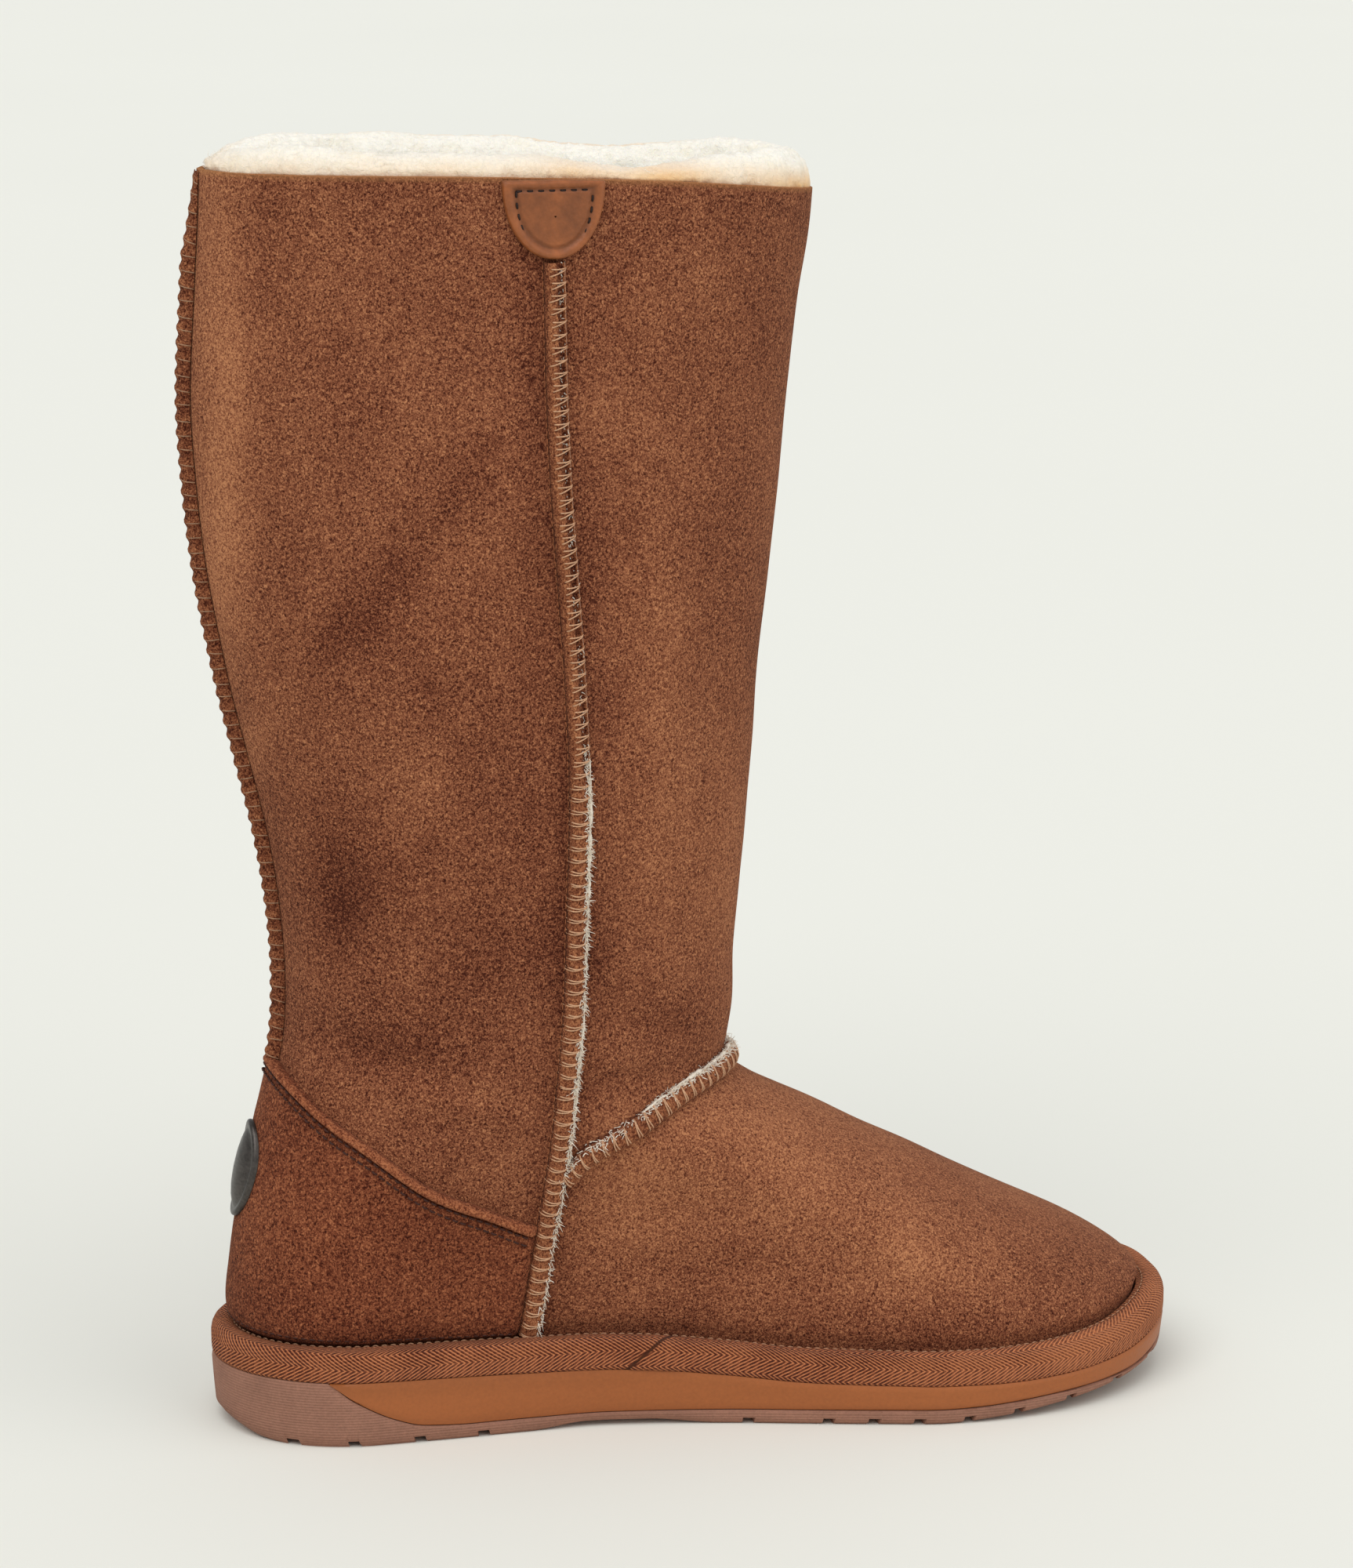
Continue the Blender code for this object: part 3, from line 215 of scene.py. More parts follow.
SHAFT = table(
    "rise back depth half",
    (0.020, 0.124, 0.776, 0.488),
    (0.054, 0.132, 0.776, 0.490),
    (0.116, 0.135, 0.775, 0.500),
    (0.188, 0.129, 0.789, 0.510),
    (0.270, 0.110, 0.821, 0.520),
    (0.360, 0.078, 0.866, 0.526),
    (0.456, 0.045, 0.909, 0.527),
    (0.560, 0.017, 0.953, 0.526),
    (0.672, -0.001, 0.991, 0.521),
    (0.770, -0.004, 1.010, 0.516),
    (0.870, 0.004, 1.018, 0.509),
    (0.948, 0.011, 1.026, 0.503),
    (1.000, 0.014, 1.029, 0.500),
)

# Side seams and the lines of vamp seam and counter, as shares of heights and of the sole's length
SIDE_SEAM = table(
    "rise along",
    (0.040, 0.300),
    (0.089, 0.309),
    (0.157, 0.321),
    (0.207, 0.330),
    (0.283, 0.340),
    (0.351, 0.347),
    (0.437, 0.350),
    (0.524, 0.352),
    (0.609, 0.348),
    (0.691, 0.341),
    (0.777, 0.334),
    (0.857, 0.331),
    (1.030, 0.330),
)
VAMP_SEAM = table(
    "along rise",
    (0.320, 0.700),
    (0.364, 0.800),
    (0.407, 0.860),
    (0.455, 0.926),
    (0.495, 0.960),
    (0.530, 0.978),
    (0.600, 0.985),
)
COUNTER_TOP = table(
    "along rise",
    (0.020, 1.110),
    (0.062, 1.065),
    (0.078, 1.015),
    (0.108, 0.930),
    (0.148, 0.850),
    (0.201, 0.740),
    (0.255, 0.667),
    (0.330, 0.590),
)

# Routes of the bow's free pieces, in millimetres in the boot's own frame
KNOT_PLACE = (90.0, 48.4, 330.0)
LOOP_FRONT = (
    (96.6, 48.4, 333.0), (103.0, 48.6, 335.0), (110.5, 47.6, 334.0), (118.0, 45.4, 330.5),
    (125.0, 42.4, 325.0), (131.0, 39.2, 318.0), (135.3, 36.2, 310.0), (137.0, 34.4, 302.0),
    (135.0, 34.4, 295.5), (130.0, 35.9, 292.8), (124.0, 37.6, 294.5), (118.0, 39.2, 299.5),
    (112.0, 41.0, 306.0), (106.5, 43.4, 313.0), (101.5, 46.2, 320.0), (96.6, 48.2, 326.6),
)
LOOP_REAR = (
    (83.4, 48.4, 333.0), (77.0, 48.6, 334.6), (69.5, 47.8, 333.0), (62.0, 46.0, 329.0),
    (55.0, 43.4, 323.0), (49.0, 40.4, 315.5), (44.8, 38.0, 307.5), (43.4, 36.8, 299.5),
    (45.8, 37.4, 293.0), (51.0, 38.8, 290.8), (57.0, 40.0, 292.8), (62.8, 41.0, 298.0),
    (68.5, 42.4, 305.0), (74.0, 44.5, 312.5), (79.0, 46.7, 320.0), (83.4, 48.2, 326.6),
)
END_FRONT = (
    (92.6, 47.6, 323.6), (93.6, 48.4, 318.0), (95.0, 48.6, 312.0), (96.6, 48.4, 305.0),
    (98.2, 47.4, 298.0), (99.6, 45.8, 291.5), (100.8, 43.9, 285.5), (101.6, 42.2, 279.5),
    (102.0, 41.5, 274.0),
)
END_REAR = (
    (87.4, 47.6, 323.6), (86.6, 48.4, 318.0), (85.0, 48.6, 312.0), (83.0, 48.4, 305.5),
    (81.0, 47.4, 299.0), (79.4, 45.8, 293.0), (78.2, 44.0, 287.0), (77.4, 42.6, 281.0),
    (77.0, 42.0, 276.5),
)

# Wool's crest over the collar: shares of the sole's length and of the fleece's stated rise
WOOL_CREST = table(
    "along rise",
    (0.000, 0.80),
    (0.030, 1.25),
    (0.080, 1.50),
    (0.160, 1.25),
    (0.330, 1.05),
    (0.425, 0.72),
    (0.480, 1.10),
    (0.600, 2.20),
)

# Creases of the upper in side view, in millimetres: a bent line from start over bend to end, its width
# and its depth, which is below zero for a ridge
INNER, OUTER = 1, -1
CREASES = table(
    "side start bend end width depth",
    (INNER, (40, 112), (58, 103), (84, 95), 2.2, 0.35),
    (INNER, (36, 106), (58, 97), (86, 88), 3.0, -0.30),
    (INNER, (22, 118), (44, 108), (66, 106), 5.0, 0.55),
    (INNER, (34, 170), (36, 150), (38, 134), 6.0, 0.60),
    (INNER, (64, 262), (46, 238), (26, 214), 9.0, 0.55),
    (INNER, (70, 246), (56, 218), (44, 190), 8.0, -0.50),
    (INNER, (22, 290), (40, 282), (66, 290), 10.0, -0.35),
    (INNER, (100, 128), (112, 112), (140, 104), 6.0, 0.70),
    (INNER, (104, 142), (122, 128), (146, 120), 7.0, -0.45),
    (INNER, (118, 262), (124, 215), (122, 165), 8.0, -0.45),
    (INNER, (140, 250), (144, 210), (142, 170), 7.0, 0.35),
    (INNER, (100, 66), (118, 60), (140, 62), 8.0, 0.45),
    (INNER, (104, 46), (136, 44), (170, 42), 5.0, 0.35),
    (INNER, (150, 70), (172, 60), (196, 54), 9.0, -0.40),
    (OUTER, (26, 116), (48, 104), (80, 98), 4.0, 0.60),
    (OUTER, (34, 126), (56, 116), (82, 112), 6.0, -0.45),
    (OUTER, (100, 124), (120, 112), (144, 106), 5.0, 0.65),
    (OUTER, (30, 200), (44, 176), (48, 150), 8.0, 0.60),
    (OUTER, (112, 240), (124, 200), (124, 160), 9.0, -0.50),
    (OUTER, (104, 60), (130, 56), (160, 52), 7.0, 0.45),
)

# Lighter and darker places of the suede in side view, in millimetres, with a tilt in degrees: the suede's
# own uneven tone, with painted shade in creases, beside the side seam and above the bound edge, and painted
# light on the creases' ridges and up the back
PATCHES = table(
    "side x z long short tilt tone",
    (INNER, 6, 270, 70, 5, 88, 0.15),
    (INNER, 12, 190, 45, 5, 70, 0.13),
    (INNER, 42, 236, 36, 9, 52, -0.13),
    (INNER, 60, 285, 22, 9, 20, 0.08),
    (INNER, 68, 252, 18, 8, 40, 0.07),
    (INNER, 52, 184, 16, 9, 60, 0.10),
    (INNER, 35, 152, 18, 6, 86, -0.16),
    (INNER, 28, 130, 10, 12, 0, 0.07),
    (INNER, 48, 112, 18, 7, -10, -0.13),
    (INNER, 70, 101, 24, 3, -22, 0.07),
    (INNER, 84, 240, 90, 4, 90, -0.07),
    (INNER, 122, 215, 55, 8, 92, 0.10),
    (INNER, 104, 140, 22, 8, 80, -0.10),
    (INNER, 124, 116, 18, 9, -20, -0.12),
    (INNER, 146, 150, 40, 5, 88, 0.08),
    (INNER, 112, 70, 12, 10, 0, 0.08),
    (INNER, 160, 76, 24, 9, -25, 0.07),
    (INNER, 190, 48, 26, 9, -12, 0.08),
    (INNER, 130, 46, 34, 7, 0, -0.08),
    (INNER, 236, 38, 20, 7, -20, -0.05),
    (INNER, 178, 31, 60, 6, 0, -0.07),
    (OUTER, 50, 230, 40, 12, 60, -0.10),
    (OUTER, 120, 210, 50, 10, 90, 0.10),
    (OUTER, 50, 110, 24, 7, -15, -0.12),
    (OUTER, 150, 74, 26, 9, -25, 0.08),
)


# Boot's form

def mix(low, high, share):
    return low + (high - low) * share


def smooth_read(rows, key, value, at):
    """Read a table's column at a place by a cubic that never overshoots its rows."""
    places = [getattr(row, key) for row in rows]
    values = [getattr(row, value) for row in rows]
    if at <= places[0]:
        return values[0]
    if at >= places[-1]:
        return values[-1]
    slopes = [(values[i + 1] - values[i]) / (places[i + 1] - places[i]) for i in range(len(rows) - 1)]
    i = max(k for k in range(len(rows) - 1) if places[k] <= at)

    def tangent(k):
        if k == 0 or k == len(rows) - 1:
            return 0.0
        before, after = slopes[k - 1], slopes[k]
        return 0.0 if before * after <= 0 else 2 * before * after / (before + after)

    width = places[i + 1] - places[i]
    t = (at - places[i]) / width
    return (values[i] * (1 + 2 * t) * (1 - t) ** 2 + values[i + 1] * t * t * (3 - 2 * t)
            + width * (tangent(i) * t * (1 - t) ** 2 - tangent(i + 1) * t * t * (1 - t)))


def rounded(reach, fullness):
    """Half width of a rounded end, as a share, at a share of the end's length from its tip."""
    inside = 1 - min(max(reach, 0.0), 1.0)
    return max(0.0, 1 - inside ** fullness) ** (1 / fullness)


def sole_body(x, inner):
    return BALL_WIDTH * smooth_read(SOLE, "along", "inner" if inner else "outer", x / SOLE_LENGTH)


def ground(x):
    return TOE_SPRING * smooth_read(SOLE, "along", "ground", x / SOLE_LENGTH)


def sole_top(x):
    return HEEL_HEIGHT * smooth_read(SOLE, "along", "top", x / SOLE_LENGTH)


def wedge_line(x):
    return HEEL_HEIGHT * smooth_read(WEDGE, "along", "rise", x / SOLE_LENGTH)


def sole_edge(angle, inset=0.0):
    """Point of the sole's outline seen from above; angle 0 is the heel and pi the toe."""
    inner = math.sin(angle) >= 0
    length = SOLE_LENGTH - 2 * inset
    x = inset + length * (1 - math.cos(angle)) / 2
    cap = (TOE_CAP_INNER if inner else TOE_CAP_OUTER) - inset
    fullness = TOE_FULLNESS_INNER if inner else TOE_FULLNESS_OUTER
    half = (sole_body(x, inner) - inset) * rounded((x - inset) / (HEEL_CAP - inset), 2.0)
    half *= rounded((SOLE_LENGTH - inset - x) / cap, fullness)
    return x, -half if inner else half


Section = namedtuple("Section", "storey rise back front lean swell half heel_cap toe_cap square fold")


def foot_section(row, storey=1):
    feather = BINDING_WIDTH + GAP
    return Section(
        storey, row.rise,
        feather + SOLE_LENGTH * row.back_in, SOLE_LENGTH * (1 - row.front_in) - feather,
        row.lean, BALL_WIDTH * row.swell, SHAFT_WIDTH * SHAFT[0].half,
        SOLE_LENGTH * row.heel_cap, SOLE_LENGTH * row.toe_cap, row.square, mix(2.0, 1.9, row.rise))


def shaft_section(row):
    depth = COLLAR_DEPTH * row.depth
    back = COLLAR_DEPTH * row.back
    return Section(
        2, row.rise, back, back + depth, 1.0, 0.0, SHAFT_WIDTH * row.half,
        depth / 2, depth / 2, 0.0, mix(1.9, HEEL_FOLD_FULLNESS, row.rise))


SECTIONS = ([foot_section(FOOT[0], storey=0)] + [foot_section(row) for row in FOOT]
            + [shaft_section(row) for row in SHAFT])


def section_height(section, x):
    seat = sole_top(x) + GAP
    if section.storey == 0:
        return seat
    if section.storey == 1:
        return mix(seat + BINDING_HEIGHT + GAP, INSTEP_HEIGHT, section.rise)
    along = min(max((x - section.back) / (section.front - section.back), 0.0), 1.0)
    crown = 4 * along ** 1.25 * (1 - along ** 1.25)
    level = mix(INSTEP_HEIGHT, COLLAR_HEIGHT, section.rise)
    return level + (COLLAR_CROWN * crown - COLLAR_DROP * along) * section.rise ** 3


def section_point(section, angle):
    inner = math.sin(angle) >= 0
    x = mix(section.back, section.front, (1 - math.cos(angle)) / 2)
    feather = sole_body(x, inner) - BINDING_WIDTH - GAP + section.swell
    half = mix(feather, section.half, section.lean)
    fullness = mix(2.0, TOE_FULLNESS_INNER if inner else TOE_FULLNESS_OUTER, section.square)
    half *= rounded((x - section.back) / section.heel_cap, section.fold)
    half *= rounded((section.front - x) / section.toe_cap, fullness)
    return x, -half if inner else half, section_height(section, x)


def seam_place(height):
    return SOLE_LENGTH * smooth_read(SIDE_SEAM, "rise", "along", height / COLLAR_HEIGHT)


def vamp_height(x):
    return INSTEP_HEIGHT * smooth_read(VAMP_SEAM, "along", "rise", x / SOLE_LENGTH)


def counter_height(x):
    return INSTEP_HEIGHT * smooth_read(COUNTER_TOP, "along", "rise", x / SOLE_LENGTH)


def collar_height(x):
    return section_height(SECTIONS[-1], x)


def binding_top(x):
    return sole_top(x) + GAP + BINDING_HEIGHT


def eyelet_places():
    """Side-view places of the punched holes, in pairs beside the slit, from the collar down."""
    top = collar_height(SLIT_PLACE) - EYELET_FIRST
    return [(SLIT_PLACE + side * EYELET_SPREAD, top - row * EYELET_PITCH)
            for row in range(EYELET_ROWS) for side in (-1, 1)]


# Arrays of points

def unit(vectors):
    return vectors / np.maximum(np.linalg.norm(vectors, axis=-1, keepdims=True), 1e-12)


def smooth_step(low, high, values):
    share = np.clip((values - low) / (high - low), 0.0, 1.0)
    return share * share * (3 - 2 * share)


def hermite(knots, values, at):
    """Smooth curve through values at knots, for any trailing shape, read at places."""
    steps = np.diff(knots)
    shape = (-1,) + (1,) * (values.ndim - 1)
    slopes = np.diff(values, axis=0) / steps.reshape(shape)
    tangents = np.empty_like(values)
    tangents[0], tangents[-1] = slopes[0], slopes[-1]
    before, after = steps[:-1].reshape(shape), steps[1:].reshape(shape)
    tangents[1:-1] = (slopes[:-1] * after + slopes[1:] * before) / (before + after)
    i = np.clip(np.searchsorted(knots, at, side="right") - 1, 0, len(knots) - 2)
    width = steps[i].reshape(shape)
    t = ((at - knots[i]) / steps[i]).reshape(shape)
    return (values[i] * (1 + 2 * t) * (1 - t) ** 2 + values[i + 1] * t * t * (3 - 2 * t)
            + width * (tangents[i] * t * (1 - t) ** 2 - tangents[i + 1] * t * t * (1 - t)))


def even_points(points, pitch=None, count=None):
    """Points at even steps along a line through the given ones."""
    points = np.asarray(points, float)
    reach = np.concatenate(([0.0], np.cumsum(np.linalg.norm(np.diff(points, axis=0), axis=1))))
    keep = np.concatenate(([True], np.diff(reach) > 1e-9))
    points, reach = points[keep], reach[keep]
    number = count if count else max(2, int(round(reach[-1] / pitch)) + 1)
    return hermite(reach, points, np.linspace(0.0, reach[-1], number))


def noise_at(points, size, seed=0.0):
    """Smooth noise from -1 to 1 at points, with lumps of a size in metres."""
    shift = Vector((seed * 7.3, seed * 3.1, seed * 5.7))
    flat = points.reshape(-1, 3) / size
    values = [noise.noise(Vector(p) + shift) for p in flat]
    return np.array(values).reshape(points.shape[:-1])


def line_noise(places, size, seed=0.0):
    """Smooth noise at lengths along a line."""
    return noise_at(np.stack([places, places * 0, places * 0 + seed], axis=1), size)


def grid_normals(grid):
    """Outward normals of a grid of points that runs upward by rows and round by columns."""
    around = np.gradient(grid, axis=1)
    upward = np.gradient(grid, axis=0)
    return unit(np.cross(around, upward))


def last_true(test, low, high, steps):
    """Highest value between two at which a test still holds, found by halving."""
    for _ in range(steps):
        middle = (low + high) / 2
        if test(middle):
            low = middle
        else:
            high = middle
    return low


class Skin:
    """Outer face of the upper as a grid of points and outward normals, with rows from the sole up."""

    def __init__(self, rows, columns):
        self.columns = columns
        rings = np.array([[section_point(section, 2 * math.pi * k / columns) for k in range(columns)]
                          for section in SECTIONS])
        steps = np.linalg.norm(np.diff(rings, axis=0), axis=2).mean(axis=1)
        knots = np.concatenate(([0.0], np.cumsum(steps)))
        self.points = hermite(knots, rings, np.linspace(0.0, knots[-1], rows)) + np.array(START)
        self.measure()

    def measure(self):
        around = np.roll(self.points, -1, axis=1) - np.roll(self.points, 1, axis=1)
        upward = np.gradient(self.points, axis=0)
        self.normals = unit(np.cross(around, upward))

    def read(self, grid, row, column):
        row = np.clip(row, 0, grid.shape[0] - 1.001)
        column = np.mod(column, self.columns)
        r, c = np.floor(row).astype(int), np.floor(column).astype(int)
        next_c = (c + 1) % self.columns
        up, along = (row - r)[..., None], (column - c)[..., None]
        low = grid[r, c] * (1 - along) + grid[r, next_c] * along
        high = grid[r + 1, c] * (1 - along) + grid[r + 1, next_c] * along
        return low * (1 - up) + high * up

    def at(self, row, column, proud=0.0):
        row, column = np.broadcast_arrays(np.asarray(row, float), np.asarray(column, float))
        point = self.read(self.points, row, column)
        normal = unit(self.read(self.normals, row, column))
        return point + normal * np.asarray(proud)[..., None], normal

    def row_at(self, column, height):
        """Row whose height is the given one in a column."""
        column = column % self.columns
        first, share = int(column), column - int(column)
        heights = (self.points[:, first, 2] * (1 - share)
                   + self.points[:, (first + 1) % self.columns, 2] * share)
        return float(np.interp(height, np.maximum.accumulate(heights), np.arange(len(heights))))

    def column_at(self, x, height, inner):
        """Column of one side that passes over a distance from the heel at a height."""
        side = 1 if inner else -1

        def behind(count):
            column = count * side
            return self.at(self.row_at(column, height), column)[0][0] - START.x < x

        return side * last_true(behind, 0.0, self.columns / 2, 22)

    def side(self, x, height, inner, proud=0.0):
        column = self.column_at(x, height, inner)
        return self.at(self.row_at(column, height), column, proud)


def relief(skin):
    """How far creases, ridges and the hide's slow waves move the skin out."""
    x = (skin.points[..., 0] - START.x) / MM
    z = skin.points[..., 2] / MM
    side = np.where(np.arange(skin.columns) * 2 < skin.columns, INNER, OUTER)[None, :]
    flank = np.abs(skin.normals[..., 1])
    out = np.zeros(x.shape)
    for crease in CREASES:
        share = np.linspace(0.0, 1.0, 24)[:, None]
        line = ((1 - share) ** 2 * np.array(crease.start) + 2 * share * (1 - share) * np.array(crease.bend)
                + share ** 2 * np.array(crease.end))
        reach = np.full(x.shape, 1e9)
        along = np.zeros(x.shape)
        for place, (px, pz) in zip(share[:, 0], line):
            far = np.hypot(x - px, z - pz)
            nearer = far < reach
            reach = np.where(nearer, far, reach)
            along = np.where(nearer, place, along)
        share_out = reach / crease.width
        wave = np.exp(-share_out ** 2) - 0.35 * np.exp(-(share_out - 1.7) ** 2)
        fade = np.clip(np.minimum(along, 1 - along) * 4 + 0.15, 0.0, 1.0)
        out -= wave * fade * crease.depth * MM * (side == crease.side) * np.clip(flank * 1.5, 0, 1)
    out += noise_at(skin.points, 0.060, 1.0) * 0.0007 + noise_at(skin.points, 0.024, 2.0) * 0.00035
    return out


def tones(points, side):
    """Sum of the listed lighter and darker places at points of the upper."""
    x = (points[..., 0] - START.x) / MM
    z = points[..., 2] / MM
    total = np.zeros(x.shape)
    # The places add the suede's own tone together with painted light and shade
    for patch in PATCHES:
        turn = math.radians(patch.tilt)
        along = (x - patch.x) * math.cos(turn) + (z - patch.z) * math.sin(turn)
        across = (z - patch.z) * math.cos(turn) - (x - patch.x) * math.sin(turn)
        spot = np.exp(-(along / patch.long) ** 2 - (across / patch.short) ** 2)
        total += spot * patch.tone * (side == patch.side)
    return total


SKIN = Skin(ROWS, COLUMNS)


# Meshes

def add_object(mesh, material, smooth_angle=None, smooth=True):
    """Object of the mesh's name."""
    thing = bpy.data.objects.new(mesh.name, mesh)
    bpy.context.scene.collection.objects.link(thing)
    mesh.materials.append(material)
    if smooth:
        mesh.shade_smooth()
    else:
        mesh.shade_flat()
    if smooth_angle:
        mesh.set_sharp_from_angle(angle=math.radians(smooth_angle))
    return thing


def dress(thing, slot, *nodes):
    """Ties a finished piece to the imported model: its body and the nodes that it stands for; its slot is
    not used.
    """
    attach(thing, "root")
    if nodes:
        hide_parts(*nodes)
    return thing


def lay(mesh, material, slot, *nodes, **look):
    """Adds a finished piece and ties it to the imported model."""
    return dress(add_object(mesh, material, **look), slot, *nodes)


def grid_faces(rows, columns, close_rows=False, close_columns=False, start=0):
    r = np.arange(rows if close_rows else rows - 1)
    c = np.arange(columns if close_columns else columns - 1)
    r, c = np.meshgrid(r, c, indexing="ij")
    up, on = (r + 1) % rows, (c + 1) % columns
    quads = np.stack([r * columns + c, r * columns + on, up * columns + on, up * columns + c], axis=-1)
    return quads.reshape(-1, 4) + start


def mesh_from(name, points, faces):
    mesh = bpy.data.meshes.new(name)
    mesh.from_pydata(np.asarray(points).reshape(-1, 3).tolist(), [],
                     [face if isinstance(face, (list, tuple)) else face.tolist() for face in faces])
    mesh.validate()
    mesh.update()
    return mesh


def paint(mesh, name, values):
    """Keeps one number for each point of a mesh under a name that materials read."""
    layer = mesh.attributes.new(name, "FLOAT", "POINT")
    layer.data.foreach_set("value", np.asarray(values, np.float32).ravel())


def tube_arrays(path, radii, sides, start):
    """Points and faces of a round tube along a path, with a radius for each of its points."""
    path = np.asarray(path, float)
    radii = np.broadcast_to(radii, (len(path),))
    along = unit(np.gradient(path, axis=0))
    side = np.zeros_like(path)
    guide = np.array((0.0, 0.0, 1.0)) if abs(along[0][2]) < 0.8 else np.array((1.0, 0.0, 0.0))
    for i, direction in enumerate(along):
        guide = unit(guide - direction * guide.dot(direction))
        side[i] = guide
    lift = np.cross(along, side)
    turn = np.linspace(0, 2 * math.pi, sides, endpoint=False)
    points = (path[:, None] + radii[:, None, None]
              * (np.cos(turn)[None, :, None] * side[:, None] + np.sin(turn)[None, :, None] * lift[:, None]))
    faces = grid_faces(len(path), sides, close_columns=True, start=start).tolist()
    last = start + (len(path) - 1) * sides
    faces.append([start + k for k in reversed(range(sides))])
    faces.append([last + k for k in range(sides)])
    return points.reshape(-1, 3), faces


def tubes_mesh(name, paths, radii, sides=6):
    """One mesh of many tubes; radii is one number, or one array of numbers for each path."""
    points, faces, total = [], [], 0
    for number, path in enumerate(paths):
        radius = radii[number] if isinstance(radii, list) else radii
        more, more_faces = tube_arrays(path, radius, sides, total)
        points.append(more)
        faces += more_faces
        total += len(more)
    return mesh_from(name, np.concatenate(points), faces)


# Materials

class Field:
    """A shader socket that takes part in Python arithmetic."""

    def __init__(self, finish, socket):
        self.finish = finish
        self.socket = socket

    def calculate(self, operation, *values):
        return self.finish.node("ShaderNodeMath", {"operation": operation}, dict(enumerate(values)))

    def __add__(self, other):
        return self.calculate("ADD", self, other)

    def __sub__(self, other):
        return self.calculate("SUBTRACT", self, other)

    def __mul__(self, other):
        return self.calculate("MULTIPLY", self, other)

    def __truediv__(self, other):
        return self.calculate("DIVIDE", self, other)

    def __abs__(self):
        return self.calculate("ABSOLUTE", self)

    __radd__ = __add__
    __rmul__ = __mul__

    def wave(self):
        return self.calculate("SINE", self)

    def fraction(self):
        return self.calculate("FRACT", self)

    def ramp(self, low, high):
        """0 below low, 1 over high, and a soft rise between; with low over high it falls."""
        settings = {"interpolation_type": "SMOOTHSTEP"}
        return self.finish.node("ShaderNodeMapRange", settings, {
            "Value": self, "From Min": low, "From Max": high, "To Min": 0.0, "To Max": 1.0})


class Finish:
    """A material in the making, with the one method that adds a node to it."""

    def __init__(self, name, **constants):
        self.material = bpy.data.materials.new(name)
        self.material.use_nodes = True
        self.tree = self.material.node_tree
        self.shader = self.tree.nodes["Principled BSDF"]
        self.place = None
        for socket, value in constants.items():
            self.shader.inputs[socket.replace("_", " ").title().replace("Ior", "IOR")].default_value = value

    def node(self, kind, settings=None, sockets=None, output=0):
        """Adds a node: its settings first, then the values or links of its sockets."""
        node = self.tree.nodes.new(kind)
        for name, value in (settings or {}).items():
            setattr(node, name, value)
        for name, value in (sockets or {}).items():
            self.feed(node.inputs[name], value)
        return Field(self, node.outputs[output])

    def feed(self, socket, value):
        if isinstance(value, Field):
            self.tree.links.new(value.socket, socket)
        elif hasattr(socket, "default_value") and isinstance(value, (tuple, list)) and len(value) == 3:
            is_colour = socket.type == "RGBA"
            socket.default_value = (*value, 1.0) if is_colour else value
        else:
            socket.default_value = value

    def position(self, stretch=(1.0, 1.0, 1.0), turn=(0.0, 0.0, 0.0)):
        if self.place is None:
            self.place = self.node("ShaderNodeTexCoord", output="Object")
        return self.node("ShaderNodeMapping", None, {
            "Vector": self.place, "Rotation": tuple(math.radians(t) for t in turn), "Scale": stretch})

    def noise(self, size, detail=2.0, roughness=0.5, where=None, distortion=0.0):
        """Noise with lumps of a size in metres."""
        return self.node("ShaderNodeTexNoise", None, {
            "Vector": where or self.position(), "Scale": 1 / size, "Detail": detail,
            "Roughness": roughness, "Distortion": distortion})

    def cells(self, size):
        """Distance to the middle of the nearest cell, as a share of a cell's size."""
        return self.node("ShaderNodeTexVoronoi", None, {"Vector": self.position(), "Scale": 1 / size})

    def layer(self, name):
        return self.node("ShaderNodeAttribute", {"attribute_name": name}, output="Fac")

    def over(self, first, second, share):
        """Colour between two, by a share."""
        return self.node("ShaderNodeMix", {"data_type": "RGBA"}, {0: share, 6: first, 7: second}, output=2)

    def colours(self, share, stops):
        """Colour read from stops of place and colour."""
        node = self.tree.nodes.new("ShaderNodeValToRGB")
        ramp = node.color_ramp
        while len(ramp.elements) < len(stops):
            ramp.elements.new(0.5)
        for element, (place, colour) in zip(ramp.elements, stops):
            element.position = place
            element.color = (*colour, 1.0)
        self.feed(node.inputs["Fac"], share)
        return Field(self, node.outputs["Color"])

    def three_tones(self, share, colour, dark, light):
        """A colour with its darker and its lighter tone, by a share."""
        return self.colours(share, [
            (0.2, shade_of(colour, dark)), (0.5, colour), (0.8, shade_of(colour, light))])

    def height(self):
        return self.node("ShaderNodeSeparateXYZ", None, {"Vector": self.position()}, output=2)

    def done(self, colour, roughness=None, height=None, depth=0.0002):
        """Links the finished colour, roughness and relief to the shader."""
        self.feed(self.shader.inputs["Base Color"], colour)
        if roughness is not None:
            self.feed(self.shader.inputs["Roughness"], roughness)
        if height is not None:
            bump = self.node("ShaderNodeBump", None, {"Strength": 1.0, "Distance": depth, "Height": height})
            self.feed(self.shader.inputs["Normal"], bump)
        return self.material


def shade_of(colour, factor):
    return tuple(min(1.0, channel * factor) for channel in colour)


def nap_tone(colour, factor):
    """Suede's colour at a brightness: redder in the gaps of its nap and yellower on its tips."""
    red, green, blue = colour
    return tuple(min(1.0, value) for value in (
        red * factor, green * factor ** 1.30, blue * factor ** 1.24))


